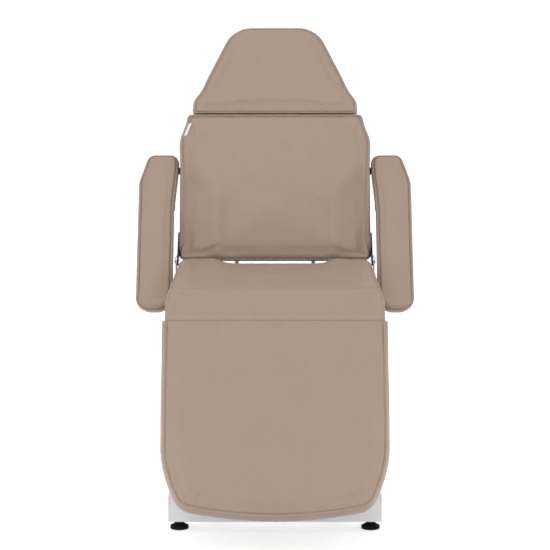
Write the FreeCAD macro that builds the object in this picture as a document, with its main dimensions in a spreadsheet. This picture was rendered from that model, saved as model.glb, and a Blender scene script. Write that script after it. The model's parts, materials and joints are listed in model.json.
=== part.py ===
import FreeCAD, Part
import math
import os
from functools import partial
from types import SimpleNamespace

import Sketcher

# Hydraulic beauty chair: a white steel floor frame on levelling feet, a telescoping column lifted
# by a foot-pumped ram, and five upholstered pads. The back, leg rest, headrest and armrests tilt.
# Millimetres, +Z up, the sitter faces -Y, origin on the floor under the column.

SIZES = (
    # Shared
    ("fit_gap", 0.3, "gap between surfaces that pass each other"),
    ("pin_gap", 0.05, "radial clearance of a pin that turns in its hole"),
    ("least_corner", 2, "smallest corner radius of a drawn-in outline"),
    ("overrun", 5, "how far a cutting tool reaches past the wall it cuts"),
    # Floor frame
    ("beam_length", 568, "length of the two cross beams"),
    ("beam_depth", 60, "front to back size of a cross beam"),
    ("beam_height", 64, "height of a cross beam"),
    ("beam_wall", 3, "wall of the cross beams and base rails"),
    ("foot_height", 25, "floor to underside of the beams"),
    ("base_front", 330, "origin to front face of the front beam"),
    ("base_rear", 400, "origin to rear face of the rear beam"),
    ("rail_inset", 94, "end of a cross beam to middle of a base rail"),
    ("rail_width", 40, "width of a base rail"),
    ("rail_height", 50, "height of a base rail"),
    ("rail_drop", 7, "top of a base rail below the top of the beams"),
    ("cap_lip", 4, "thickness of a beam end cap outside the tube"),
    ("cap_plug", 14, "depth of a beam end cap inside the tube"),
    ("deck_front", 130, "origin to front edge of the deck plate"),
    ("deck_rear", 212, "origin to rear edge of the deck plate"),
    ("deck_thickness", 8, "thickness of the deck plate"),
    # Levelling feet
    ("foot_inset", 25, "end of a cross beam to axis of a foot"),
    ("foot_radius", 25, "radius of a foot's disc"),
    ("foot_rim", 7, "height of a foot's rim"),
    ("foot_cone", 7, "height of a foot's cone"),
    ("foot_neck_radius", 13, "radius of a foot's neck"),
    ("stem_radius", 6, "radius of a foot's threaded stem"),
    ("stem_length", 45, "length of a stem above the neck"),
    ("weld_nut_radius", 11, "radius of the weld nut round a stem"),
    ("weld_nut_height", 12, "height of the weld nut round a stem"),
    # Lifting column
    ("column_side", 120, "outside of the fixed column tube"),
    ("column_wall", 4, "wall of both column tubes"),
    ("column_clear", 34, "guide collar to the plate on the sliding tube, lowered"),
    ("flange_side", 190, "side of the column's foot flange"),
    ("flange_thickness", 8, "thickness of the column's foot flange"),
    ("flange_bolt_spread", 77, "origin to a flange bolt along X and Y"),
    ("bolt_radius", 5, "radius of the flange bolts"),
    ("bolt_head_radius", 9, "radius of a flange bolt's head and nut"),
    ("bolt_head_height", 6, "height of a flange bolt's head and nut"),
    ("slider_side", 104, "outside of the sliding column tube"),
    ("slider_lift", 40, "deck plate to lower end of the sliding tube"),
    ("collar_height", 18, "height of the guide collar on the column"),
    ("collar_width", 12, "width of the guide collar's rim"),
    ("glide_height", 20, "height of the glide ring on the sliding tube"),
    ("ram_block_side", 70, "side of the block under the ram"),
    ("ram_block_height", 30, "height of the block under the ram"),
    ("barrel_radius", 27, "outside radius of the ram barrel"),
    ("barrel_bore", 22, "inside radius of the ram barrel"),
    ("barrel_share", 0.62, "length of the ram barrel as a share of the column"),
    ("gland_height", 16, "height of the gland on the ram barrel"),
    ("ram_radius", 14, "radius of the ram rod"),
    ("piston_lift", 8, "block to lower face of the piston at rest"),
    ("piston_height", 20, "height of the piston"),
    # Pump and pedal
    ("pump_width", 90, "width of the pump block"),
    ("pump_front", 97, "origin to front face of the pump block"),
    ("pump_length", 100, "length of the pump block"),
    ("pump_height", 75, "height of the pump block"),
    ("pedal_axis_y", 171, "origin to pedal shaft"),
    ("pedal_axis_lift", 40, "deck plate to pedal shaft"),
    ("pedal_shaft_radius", 8, "radius of the pedal shaft"),
    ("pedal_reach", 399, "pedal shaft to pedal bar"),
    ("pedal_tilt", 12, "rise of the pedal above level at rest, degrees"),
    ("pedal_arm_width", 10, "thickness of a pedal arm"),
    ("pedal_arm_height", 18, "height of a pedal arm"),
    ("pedal_hub_radius", 15, "radius of a pedal arm's hub"),
    ("pedal_bar_radius", 9, "radius of the bar between the pedal arms"),
    ("pedal_grip_radius", 14, "radius of the rubber sleeve on the pedal bar"),
    ("tank_radius", 35, "radius of the oil tank"),
    ("tank_height", 110, "height of the oil tank"),
    ("tank_gap", 15, "pump block to oil tank"),
    ("filler_radius", 12, "radius of the oil tank's filler cap"),
    ("filler_height", 10, "height of the oil tank's filler cap"),
    ("pipe_radius", 5, "radius of the oil pipes"),
    ("pipe_lift", 18, "deck plate to axis of the oil pipes"),
    # Seat frame
    ("seat_height", 654, "floor to top of the seat roll"),
    ("seat_pad_thickness", 80, "seat board to top of the seat roll"),
    ("seat_board_thickness", 18, "thickness of the seat board"),
    ("frame_height", 40, "height of the seat frame tubes"),
    ("frame_width", 30, "width of the seat frame rails"),
    ("frame_wall", 2.5, "wall of the seat frame tubes"),
    ("frame_spread", 245, "origin to middle of a seat frame rail"),
    ("frame_front", 232, "origin to front end of the seat frame rails"),
    ("frame_rear", 255, "origin to rear end of the seat frame rails"),
    ("cross_width", 40, "front to back size of the seat cross tubes"),
    ("cross_front", 150, "origin to front face of the front cross tube"),
    ("cross_rear", 30, "origin to rear face of the rear cross tube"),
    ("stay_cross_rear", 240, "origin to rear face of the stay cross tube"),
    ("lift_plate_width", 190, "width of the plate on the sliding tube"),
    ("lift_plate_thickness", 8, "thickness of the plate on the sliding tube"),
    # Seat pad
    ("seat_front_half", 294, "half width of the seat at its front roll"),
    ("seat_rear_half", 274, "half width of the seat at its rear edge"),
    ("seat_rear", 146, "origin to rear edge of the seat pad"),
    ("seat_rear_rise", 10, "rise of the seat from its roll to its rear edge"),
    ("seat_rear_round", 22, "rounding of the seat's rear upper edge"),
    ("seat_corner", 26, "plan radius of the seat's rear corners"),
    ("seat_dish_half", 196, "half width of the dish across the seat's rear edge"),
    ("seat_dish_floor", 112, "half width of the dish's floor"),
    ("seat_dish_depth", 21, "depth of the dish at the seat's rear edge"),
    ("seat_dish_slope", 3.8, "slope of the dish against the seat, degrees"),
    ("seat_edge_round", 24, "drawn-in width of the seat's upper side edges"),
    ("seat_board_inset", 10, "seat board inside the seat pad's outline"),
    # Leg rest
    ("leg_axis_y", 254, "origin to leg rest hinge, towards the front"),
    ("roll_radius", 116.5, "radius of the seat's front roll about the leg hinge"),
    ("roll_gap", 1.2, "gap between the seat's roll and the leg pad"),
    ("leg_face", 120, "leg hinge to front face of the leg pad"),
    ("roll_underside", 16, "leg hinge to underside of the seat's roll"),
    ("leg_angle", 65, "leg rest below level at rest, degrees"),
    ("leg_half", 300, "half width of the leg pad"),
    ("leg_length", 526.5, "leg hinge to end of the leg pad"),
    ("leg_pad_thickness", 70, "thickness of the leg pad"),
    ("leg_board_thickness", 12, "thickness of the leg board"),
    ("leg_board_inset", 22, "leg board inside the leg pad's outline"),
    ("leg_edge_round", 34, "drawn-in width of the leg pad's front edges"),
    ("leg_strap_thickness", 6, "thickness of the leg hinge straps and brackets"),
    ("leg_strap_length", 320, "leg hinge to end of a leg hinge strap"),
    ("leg_strap_top", 5, "leg hinge to upper edge of a strap beside the roll"),
    ("leg_eye_radius", 11, "radius of the leg hinge eyes"),
    ("leg_pin_radius", 5, "radius of the leg hinge bolts"),
    ("leg_pin_head", 4, "thickness of a leg hinge bolt's head"),
    ("leg_bracket_length", 77, "leg hinge to rear end of a leg bracket"),
    ("leg_strap_taper_share", 0.8, "where a leg hinge strap starts to taper, along it"),
    ("leg_cross_share", 0.6, "place of the leg cross tube along its straps"),
    ("leg_cross_side", 25, "side of the leg cross tube"),
    # Back rest
    ("back_axis_y", 168, "origin to back hinge"),
    ("back_axis_drop", 5, "top of the seat roll to back hinge, downwards"),
    ("back_angle", 64, "back rest above level at rest, degrees"),
    ("back_half", 272, "half width of the back pad"),
    ("back_start", -3, "back hinge to lower edge of the back pad"),
    ("back_end", 431.5, "back hinge to upper edge of the back pad"),
    ("back_top_half", 246, "half width of the back pad's upper edge"),
    ("back_shoulder", 325, "back hinge to where the shoulders start"),
    ("back_corner", 14, "radius of the back pad's lower corners"),
    ("back_face", 17, "back hinge to front face of the back pad"),
    ("back_pad_thickness", 70, "thickness of the back pad"),
    ("back_board_thickness", 15, "thickness of the back board"),
    ("back_board_inset", 20, "back board inside the back pad's outline"),
    ("back_edge_round", 32, "drawn-in width of the back pad's front edges"),
    ("hinge_plate", 4, "thickness of the back hinge plates"),
    ("hinge_plate_gap", 1.5, "back pad to back hinge arm"),
    ("hinge_arm_height", 98, "back hinge to upper end of a back hinge arm"),
    ("hinge_flange_share", 0.33, "where a hinge arm's flange starts, along the arm"),
    ("hinge_flange", 70, "width of a hinge arm's flange behind the back board"),
    ("hinge_eye_radius", 15, "radius of the back hinge eyes"),
    ("hinge_pin_radius", 6, "radius of the back hinge bolts"),
    ("hinge_head_radius", 10, "radius of a back hinge bolt's head"),
    ("hinge_head", 3, "thickness of a back hinge bolt's head"),
    ("hinge_bracket_length", 65, "front to back size of a back hinge bracket"),
    ("hinge_bracket_shelf", 6, "thickness of a back hinge bracket's shelf"),
    # Back stays and their clamp
    ("stay_spread", 111, "origin to a back stay"),
    ("stay_radius", 7, "radius of the stay rod"),
    ("stay_bend", 165, "back hinge to the stay's curved middle line"),
    ("stay_low_angle", 16, "lower end of a stay behind straight down, degrees"),
    ("stay_high_angle", 92, "upper end of a stay's curve, degrees"),
    ("stay_pad_thickness", 6, "thickness of a stay's mounting pad"),
    ("stay_pad_side", 56, "side of a stay's mounting pad"),
    ("clamp_width", 36, "width of a stay clamp block"),
    ("clamp_height", 56, "height of a stay clamp block"),
    ("lever_shaft_radius", 5, "radius of the release shaft"),
    ("lever_shaft_drop", 44, "frame underside to release shaft"),
    ("lever_shaft_y", 220, "origin to release shaft"),
    ("lever_length", 150, "release shaft to end of its handle"),
    ("lever_bar_width", 8, "thickness of the release handle bar"),
    ("lever_bar_height", 18, "height of the release handle bar"),
    ("lever_grip_length", 80, "length of the release handle's grip"),
    ("lever_grip_radius", 11, "radius of the release handle's grip"),
    ("lever_clear", 10, "seat frame rail to release handle bar"),
    # Headrest
    ("head_axis", 433, "back hinge to headrest hinge, along the back"),
    ("head_axis_depth", 62, "back hinge to headrest hinge, behind it"),
    ("head_start", 1.5, "headrest hinge to lower edge of the headrest"),
    ("head_end", 273, "headrest hinge to upper edge of the headrest"),
    ("head_low_half", 238, "half width of the headrest's lower edge"),
    ("head_side", 46, "headrest hinge to upper end of its upright sides"),
    ("head_side_half", 236, "half width of the headrest at that end"),
    ("head_side_radius", 30, "radius of the headrest's sides at that end"),
    ("head_mid", 100, "headrest hinge to the bend in its sides"),
    ("head_mid_half", 203.5, "half width of the headrest at that bend"),
    ("head_top_half", 120.5, "half width of the headrest's upper edge"),
    ("head_low_corner", 10, "radius of the headrest's lower corners"),
    ("head_bend_radius", 120, "radius of the bend in the headrest's sides"),
    ("head_top_corner", 85, "radius of the headrest's upper corners"),
    ("head_pad_thickness", 66, "thickness of the headrest pad"),
    ("head_board_thickness", 12, "thickness of the headrest board"),
    ("head_board_inset", 22, "headrest board inside the headrest's outline"),
    ("head_edge_round", 30, "drawn-in width of the headrest's front edges"),
    ("strap_spread", 80, "origin to a headrest hinge"),
    ("strap_thickness", 6, "thickness of a headrest hinge strap"),
    ("strap_eye_radius", 8, "radius of the headrest hinge eyes"),
    ("strap_pin_radius", 4, "radius of the headrest hinge pins"),
    ("strap_reach", 70, "length of a headrest hinge strap on its board"),
    ("strap_depth", 14, "depth of a headrest hinge strap behind its board"),
    # Armrests
    ("arm_angle", 49.5, "armrests below level at rest, degrees"),
    ("arm_axis", 288.8, "back hinge to armrest pivot, along the back"),
    ("arm_axis_depth", 75, "back hinge to armrest pivot, behind it"),
    ("arm_inner", 287, "origin to inner side of an armrest"),
    ("arm_width", 102, "width of an armrest"),
    ("arm_toe_in", 11, "inner side of an armrest's upper end inside the rest of that side"),
    ("arm_top_share", 0.85, "width of an armrest's upper end as a share of its width"),
    ("arm_toe_share", 0.5, "upright part of an armrest's upper inner side, as a share of its shoulder"),
    ("arm_top", 28, "armrest pivot to upper end of the armrest"),
    ("arm_bottom", 488, "armrest pivot to lower end of the armrest"),
    ("arm_shoulder", 90, "upper end of an armrest to the end of its slope"),
    ("arm_corner", 24, "radius of an armrest's upper corners"),
    ("arm_end_corner", 44, "radius of an armrest's lower corners"),
    ("arm_shoulder_round", 60, "radius of the end of an armrest's slope"),
    ("arm_rise", 12, "armrest pivot to underside of the armrest pad"),
    ("arm_pad_thickness", 50, "thickness of an armrest pad"),
    ("arm_edge_round", 22, "drawn-in width of an armrest's upper edges"),
    ("arm_board_inset", 16, "armrest board inside the pad's outline"),
    ("arm_hub_radius", 10, "radius of an armrest's hub"),
    ("arm_pin_radius", 6, "radius of an armrest's pivot pin"),
    ("arm_hub_length", 56, "length of an armrest's hub"),
    ("arm_strap_width", 36, "width of the strap under an armrest"),
    ("arm_strap_length", 130, "length of the strap under an armrest"),
    ("arm_strap_thickness", 5, "thickness of the strap under an armrest"),
    ("arm_mount_length", 62, "length of an armrest mount along its pin"),
    ("arm_mount_height", 40, "height of an armrest mount"),
    ("arm_mount_depth", 24, "depth of an armrest mount behind the back board"),
    ("arm_spacer_radius", 11, "radius of the spacer beside an armrest"),
)

# Shape of a pad's side, from its board to its crown: shares of the thickness and of the edge round
PAD_HEIGHT_SHARES = (0.0, 0.14, 0.36, 0.60, 0.78, 0.90, 0.97, 1.0)
PAD_INSET_SHARES = (0.26, 0.07, 0.0, 0.0, 0.09, 0.27, 0.56, 1.0)
# Half outline of the leg pad's lower end: shares of its half width and of its length
LEG_SIDE_END_SHARES = (1.0, 0.645)
LEG_SIDE_ARC_SHARES = (0.962, 0.787)
LEG_SIDE_FOOT_SHARES = (0.893, 0.893)
LEG_CORNER_ARC_SHARES = (0.837, 0.934)
LEG_CORNER_END_SHARES = (0.753, 0.958)
LEG_FOOT_ARC_SHARES = (0.39, 0.988)
SHOULDER_SHARE = 0.33
SIDES = {"left": -1, "right": 1}

doc = FreeCAD.newDocument("beauty_chair")
dim = doc.addObject("Spreadsheet::Sheet", "dim")
for row, (alias, value, note) in enumerate(SIZES, start=1):
    dim.set("A%d" % row, alias)
    dim.set("B%d" % row, str(value))
    dim.set("C%d" % row, note)
    dim.setAlias("B%d" % row, alias)
doc.recompute()

size = SimpleNamespace(**{alias: float(getattr(dim, alias)) for alias, value, note in SIZES})
Vector = FreeCAD.Vector
ORIGIN = Vector(0, 0, 0)
X_AXIS = Vector(1, 0, 0)
Y_AXIS = Vector(0, 1, 0)
Z_AXIS = Vector(0, 0, 1)
pieces = []
pairs = {}

# Levels that several pieces share, as sheet expressions
BEAM_LOW = "dim.foot_height"
BEAM_TOP = "(dim.foot_height + dim.beam_height)"
RAIL_TOP = "(dim.foot_height + dim.beam_height - dim.rail_drop)"
DECK_TOP = "(%s + dim.deck_thickness)" % RAIL_TOP
RAM_LOW = "(%s + dim.ram_block_height)" % DECK_TOP
BOARD_TOP = "(dim.seat_height - dim.seat_pad_thickness)"
FRAME_TOP = "(%s - dim.seat_board_thickness)" % BOARD_TOP
FRAME_LOW = "(%s - dim.frame_height)" % FRAME_TOP
LIFT_TOP = "(%s - dim.lift_plate_thickness)" % FRAME_LOW
COLUMN_TOP = "(%s - dim.column_clear - dim.collar_height)" % LIFT_TOP
BARREL_LENGTH = "(dim.barrel_share * (%s - %s))" % (COLUMN_TOP, DECK_TOP)
FOOT_SPREAD = "(dim.beam_length / 2 - dim.foot_inset)"
RAIL_SPREAD = "(dim.beam_length / 2 - dim.rail_inset)"
BACK_AXIS_Z = "(dim.seat_height - dim.back_axis_drop)"
LEG_BOARD_FRONT = "(dim.leg_face - dim.leg_pad_thickness)"
SEAT_BOARD_FRONT = "(dim.leg_axis_y + dim.frame_width)"
ARM_TOP_INNER = "(dim.arm_inner - dim.arm_toe_in)"
HINGE_ARM_X = "(dim.back_half + dim.hinge_plate_gap)"
BRACKET_X = "(%s + dim.hinge_plate + dim.fit_gap)" % HINGE_ARM_X
BACK_BOARD_FRONT = "(dim.back_pad_thickness - dim.back_face)"
BACK_BOARD_REAR = "(%s + dim.back_board_thickness)" % BACK_BOARD_FRONT


def num(expression):
    """Value of a sheet expression, in millimetres."""
    return float(dim.evalExpression(expression))


def bind(obj, **expressions):
    """Tie an object's properties to sheet expressions."""
    for name, expression in expressions.items():
        obj.setExpression(name.replace("__", "."), expression)
    return obj


def keep(obj, frame=None):
    """List an object as a sub-part, standing in the given frame."""
    if frame is not None:
        obj.Placement = frame.multiply(obj.Placement)
    pieces.append(obj)
    return obj


def pair(name, obj, frame=None):
    """Collect like solids that share one node, to be grouped and placed together."""
    pairs.setdefault(name, ([], frame))[0].append(obj)


def at(obj, x="0", y="0", z="0"):
    return bind(obj, Placement__Base__x=x, Placement__Base__y=y, Placement__Base__z=z)


def box(name, x, y, z):
    """A block between low and high expressions along each axis."""
    block = doc.addObject("Part::Box", name)
    bind(block, Length="%s - (%s)" % (x[1], x[0]), Width="%s - (%s)" % (y[1], y[0]))
    bind(block, Height="%s - (%s)" % (z[1], z[0]))
    return at(block, x[0], y[0], z[0])


def rod(name, axis, radius, start, length, x="0", y="0", z="0"):
    """A round bar along X, Y or Z from a start point on its axis."""
    bar = doc.addObject("Part::Cylinder", name)
    bind(bar, Radius=radius, Height=length)
    turns = {"X": (Y_AXIS, 90), "Y": (X_AXIS, -90), "Z": (Z_AXIS, 0)}
    bar.Placement = FreeCAD.Placement(ORIGIN, FreeCAD.Rotation(*turns[axis]))
    place = {"X": (start, y, z), "Y": (x, start, z), "Z": (x, y, start)}
    return at(bar, *place[axis])


def cone(name, low_radius, high_radius, start, height, x="0", y="0"):
    taper = doc.addObject("Part::Cone", name)
    bind(taper, Radius1=low_radius, Radius2=high_radius, Height=height)
    return at(taper, x, y, start)


def join(name, *parts):
    joined = doc.addObject("Part::MultiFuse", name)
    joined.Shapes = list(parts)
    return joined


def cut(name, base, *tools):
    result = doc.addObject("Part::Cut", name)
    result.Base = base
    result.Tool = tools[0] if len(tools) == 1 else join(name + "_tools", *tools)
    return result


def group(name, parts):
    """Separate solids that share one node."""
    together = doc.addObject("Part::Compound", name)
    together.Links = list(parts)
    return together


def feature(name, shape):
    obj = doc.addObject("Part::Feature", name)
    obj.Shape = shape
    return obj


def span(side, near, far):
    """Low and high X expressions of a range that lies on one side of the middle plane."""
    return (near, far) if side > 0 else ("-(%s)" % far, "-(%s)" % near)


def tube(name, x, y, z, wall, along):
    """A rectangular tube, open at both ends along one axis."""
    ranges = {"X": x, "Y": y, "Z": z}
    inner = {}
    for axis, (low, high) in ranges.items():
        step = "-dim.overrun" if axis == along else wall
        inner[axis] = ("%s + (%s)" % (low, step), "%s - (%s)" % (high, step))
    outside = box(name + "_outside", x, y, z)
    inside = box(name + "_inside", inner["X"], inner["Y"], inner["Z"])
    return cut(name, outside, inside)


def profile(name, plane, points, start, depth, frame=None):
    """A PartDesign body: a polygon drawn on one origin plane and padded along its normal."""
    body = doc.addObject("PartDesign::Body", name)
    base_plane = [item for item in body.Origin.OriginFeatures if item.Role == plane][0]
    sketch = body.newObject("Sketcher::SketchObject", name + "_sketch")
    sketch.AttachmentSupport = [(base_plane, "")]
    sketch.MapMode = "FlatFace"
    corners = [Vector(num(across), num(along), 0) for across, along in points]
    count = len(corners)
    for index in range(count):
        sketch.addGeometry(Part.LineSegment(corners[index], corners[(index + 1) % count]))
    for index in range(count):
        sketch.addConstraint(Sketcher.Constraint("Coincident", index, 2, (index + 1) % count, 1))
    for index, (across, along) in enumerate(points):
        for kind, value, text in (("DistanceX", corners[index].x, across),
                                  ("DistanceY", corners[index].y, along)):
            number = sketch.addConstraint(Sketcher.Constraint(kind, -1, 1, index, 1, value))
            sketch.setExpression("Constraints[%d]" % number, text)
    sketch.setExpression("AttachmentOffset.Base.z", start)
    pad = body.newObject("PartDesign::Pad", name + "_pad")
    pad.Profile = sketch
    pad.setExpression("Length", depth)
    if frame is not None:
        body.Placement = frame
    return body


def frame_at(y, z, angle):
    """A frame on the middle plane whose Y axis rises from level by an angle."""
    return FreeCAD.Placement(Vector(0, y, z), FreeCAD.Rotation(X_AXIS, angle))


back_frame = frame_at(size.back_axis_y, num(BACK_AXIS_Z), size.back_angle)
leg_axis_z = size.seat_height - size.roll_radius
leg_frame = frame_at(-size.leg_axis_y, leg_axis_z, size.leg_angle)
arm_pivot = back_frame.multVec(Vector(0, size.arm_axis, -size.arm_axis_depth))
arm_frame = frame_at(arm_pivot.y, arm_pivot.z, size.arm_angle)
head_pivot = back_frame.multVec(Vector(0, size.head_axis, -size.head_axis_depth))
head_frame = frame_at(head_pivot.y, head_pivot.z, size.back_angle)


# Outlines and pads
def line(start, end):
    return Part.LineSegment(start, end).toShape()


def arc(start, through, end):
    return Part.Arc(start, through, end).toShape()


def drawn_in(corners, inset):
    """Move each side of a corner polygon inward and tighten its corner radii to suit."""
    count = len(corners)
    points = [point for point, radius in corners]
    turn = sum(points[index - 1].cross(points[index]).z for index in range(count))
    facing = Z_AXIS if turn > 0 else Z_AXIS * -1
    moved = []
    for index, (corner, radius) in enumerate(corners):
        first = facing.cross(corner - points[index - 1]).normalize()
        second = facing.cross(points[(index + 1) % count] - corner).normalize()
        step = (first + second) * (inset / (1 + first.dot(second)))
        tight = max(radius - inset, min(radius, size.least_corner))
        moved.append((corner + step, tight))
    return moved


def rounded(corners, inset):
    """A closed wire through (point, corner radius) pairs, with an arc at each rounded corner."""
    count = len(corners)
    corners = drawn_in(corners, inset)
    stretches = []
    for index, (corner, radius) in enumerate(corners):
        before = (corners[index - 1][0] - corner).normalize()
        after = (corners[(index + 1) % count][0] - corner).normalize()
        half_turn = before.getAngle(after) / 2
        reach = radius / math.tan(half_turn) if radius else 0
        inward = (before + after).normalize() if radius else ORIGIN
        depth = radius / math.sin(half_turn) - radius if radius else 0
        stretches.append((corner + before * reach, corner + inward * depth, corner + after * reach))
    edges = []
    for index, (start, middle, end) in enumerate(stretches):
        if corners[index][1]:
            edges.append(arc(start, middle, end))
        edges.append(line(end, stretches[(index + 1) % count][0]))
    return Part.Wire(edges)


def mirrored(edges):
    """Close a half outline that runs from the middle plane round to the middle plane."""
    other = [edge.mirror(ORIGIN, X_AXIS) for edge in edges]
    return Part.Wire(Part.__sortEdges__(edges + other))


def both_sides(half):
    """Corners of a symmetric outline from the (x, y, radius) rows of its right half."""
    corners = [(Vector(x, y, 0), radius) for x, y, radius in half]
    return corners + [(Vector(-x, y, 0), radius) for x, y, radius in reversed(half)]


def cushion(outline, low, thickness, edge_round):
    """A pad with drawn-in sides and a crowned face, lofted through insets of its outline."""
    sections = []
    for height_share, inset_share in zip(PAD_HEIGHT_SHARES, PAD_INSET_SHARES):
        section = outline(inset_share * edge_round)
        section.translate(Vector(0, 0, low + height_share * thickness))
        sections.append(section)
    return Part.makeLoft(sections, True, True)


def slab(outline, low, thickness):
    panel = Part.Face(outline).extrude(Vector(0, 0, thickness))
    panel.translate(Vector(0, 0, low))
    return panel


def seat_outline(inset):
    front = -(size.leg_axis_y + size.roll_radius + size.overrun)
    corners = [(Vector(-size.seat_front_half, front, 0), 0),
               (Vector(size.seat_front_half, front, 0), 0),
               (Vector(size.seat_rear_half, size.seat_rear, 0), size.seat_corner),
               (Vector(-size.seat_rear_half, size.seat_rear, 0), size.seat_corner)]
    return rounded(corners, inset)


def leg_outline(inset):
    def spot(shares):
        return Vector(shares[0] * size.leg_half, -shares[1] * size.leg_length, 0)
    side_end = spot(LEG_SIDE_END_SHARES)
    side_foot = spot(LEG_SIDE_FOOT_SHARES)
    corner_end = spot(LEG_CORNER_END_SHARES)
    foot_middle = Vector(0, -size.leg_length, 0)
    top = Vector(0, size.leg_edge_round + size.overrun, 0)
    corner = top + X_AXIS * size.leg_half
    edges = [line(top, corner),
             line(corner, side_end),
             arc(side_end, spot(LEG_SIDE_ARC_SHARES), side_foot),
             arc(side_foot, spot(LEG_CORNER_ARC_SHARES), corner_end),
             arc(corner_end, spot(LEG_FOOT_ARC_SHARES), foot_middle)]
    outline = mirrored(edges)
    return outline.makeOffset2D(-inset) if inset else outline


def back_outline(inset):
    shoulder_radius = size.back_end - size.back_shoulder
    shoulder = size.back_shoulder + SHOULDER_SHARE * shoulder_radius
    half = [(size.back_half, size.back_start, size.back_corner),
            (size.back_half, shoulder, shoulder_radius),
            (size.back_top_half, size.back_end, size.back_corner)]
    return rounded(both_sides(half), inset)


def head_outline(inset):
    half = [(size.head_low_half, size.head_start, size.head_low_corner),
            (size.head_side_half, size.head_side, size.head_side_radius),
            (size.head_mid_half, size.head_mid, size.head_bend_radius),
            (size.head_top_half, size.head_end, size.head_top_corner)]
    return rounded(both_sides(half), inset)


def arm_outline(side, inset):
    top = size.arm_top
    inner_top = num(ARM_TOP_INNER)
    outer_top = inner_top + size.arm_top_share * size.arm_width
    outer = size.arm_inner + size.arm_width
    corners = [(inner_top, top, size.arm_corner),
               (inner_top, top - size.arm_toe_share * size.arm_shoulder, 0),
               (size.arm_inner, top - 2 * size.arm_shoulder, 0),
               (size.arm_inner, -size.arm_bottom, size.arm_end_corner),
               (outer, -size.arm_bottom, size.arm_end_corner),
               (outer, top - size.arm_shoulder, size.arm_shoulder_round),
               (outer_top, top, size.arm_corner)]
    return rounded([(Vector(side * x, y, 0), radius) for x, y, radius in corners], inset)


def seat_pad():
    """The seat cushion: drawn-in sides, a round front roll over the leg hinge, a dished rear."""
    low = leg_axis_z + size.roll_underside
    board_top = num(BOARD_TOP)
    rear_top = size.seat_height + size.seat_rear_rise
    block = cushion(seat_outline, low, rear_top - low, size.seat_edge_round)
    roll = Vector(0, -size.leg_axis_y, leg_axis_z)
    roll_end = math.asin(size.roll_underside / size.roll_radius)
    front_tip = roll + Vector(0, -size.roll_radius * math.cos(roll_end), size.roll_underside)
    roll_middle = (math.pi / 2 + roll_end) / 2
    front_mid = roll + Vector(0, -math.cos(roll_middle), math.sin(roll_middle)) * size.roll_radius
    roll_top = roll + Vector(0, 0, size.roll_radius)
    board_front = -num(SEAT_BOARD_FRONT)
    rear_start = Vector(0, size.seat_rear, rear_top - size.seat_rear_round)
    rear_end = Vector(0, size.seat_rear - size.seat_rear_round, rear_top)
    rear_centre = Vector(0, rear_end.y, rear_start.z)
    rear_mid = rear_centre + Vector(0, 1, 1).normalize() * size.seat_rear_round
    steps = [Vector(0, size.seat_rear, board_top), Vector(0, board_front, board_top),
             Vector(0, board_front, low), front_tip]
    edges = [line(first, second) for first, second in zip(steps, steps[1:])]
    edges += [arc(front_tip, front_mid, roll_top), line(roll_top, rear_end),
              arc(rear_end, rear_mid, rear_start), line(rear_start, steps[0])]
    reach = size.seat_front_half + size.overrun
    section = Part.Face(Part.Wire(edges)).extrude(Vector(2 * reach, 0, 0))
    section.translate(Vector(-reach, 0, 0))
    return block.common(section).cut(seat_dish(rear_top))


def seat_dish(rear_top):
    """A flat-floored trough with eased sides that deepens towards the seat's rear edge."""
    run = (size.seat_dish_half - size.seat_dish_floor) / 2
    drop = size.seat_dish_depth / 2
    radius = (run ** 2 + drop ** 2) / (2 * drop)
    lean = math.atan2(drop, run)
    ease = Vector(radius * math.sin(lean), 0, radius * (1 - math.cos(lean)))
    edges = []
    for side in SIDES.values():
        brim = Vector(side * size.seat_dish_half, 0, size.seat_dish_depth)
        waist = Vector(side * (size.seat_dish_half - run), 0, drop)
        floor = Vector(side * size.seat_dish_floor, 0, 0)
        above = brim + Z_AXIS * size.seat_dish_depth
        edges.append(line(above, brim))
        edges.append(arc(brim, Vector(brim.x - side * ease.x, 0, brim.z - ease.z), waist))
        edges.append(arc(waist, Vector(floor.x + side * ease.x, 0, ease.z), floor))
    edges.append(line(edges[0].Vertexes[0].Point, edges[3].Vertexes[0].Point))
    edges.append(line(edges[2].Vertexes[-1].Point, edges[5].Vertexes[-1].Point))
    length = size.seat_rear + size.leg_axis_y
    trough = Part.Face(Part.Wire(Part.__sortEdges__(edges))).extrude(Y_AXIS * (2 * length))
    trough.translate(Y_AXIS * -length)
    trough.rotate(ORIGIN, X_AXIS, -size.seat_dish_slope)
    trough.translate(Vector(0, size.seat_rear, rear_top - size.seat_dish_depth))
    return trough


def leg_pad():
    """The leg cushion, ending at its hinge and hollowed there to turn round the seat's front roll."""
    low = num(LEG_BOARD_FRONT)
    block = cushion(leg_outline, low, size.leg_pad_thickness, size.leg_edge_round)
    reach = size.leg_half + size.overrun
    hollow = size.roll_radius + size.roll_gap
    roll = Part.makeCylinder(hollow, 2 * reach, Vector(-reach, 0, 0), X_AXIS)
    above = Part.makeBox(2 * reach, 2 * reach, 2 * reach, Vector(-reach, 0, -reach))
    return block.cut(roll).cut(above)


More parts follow.
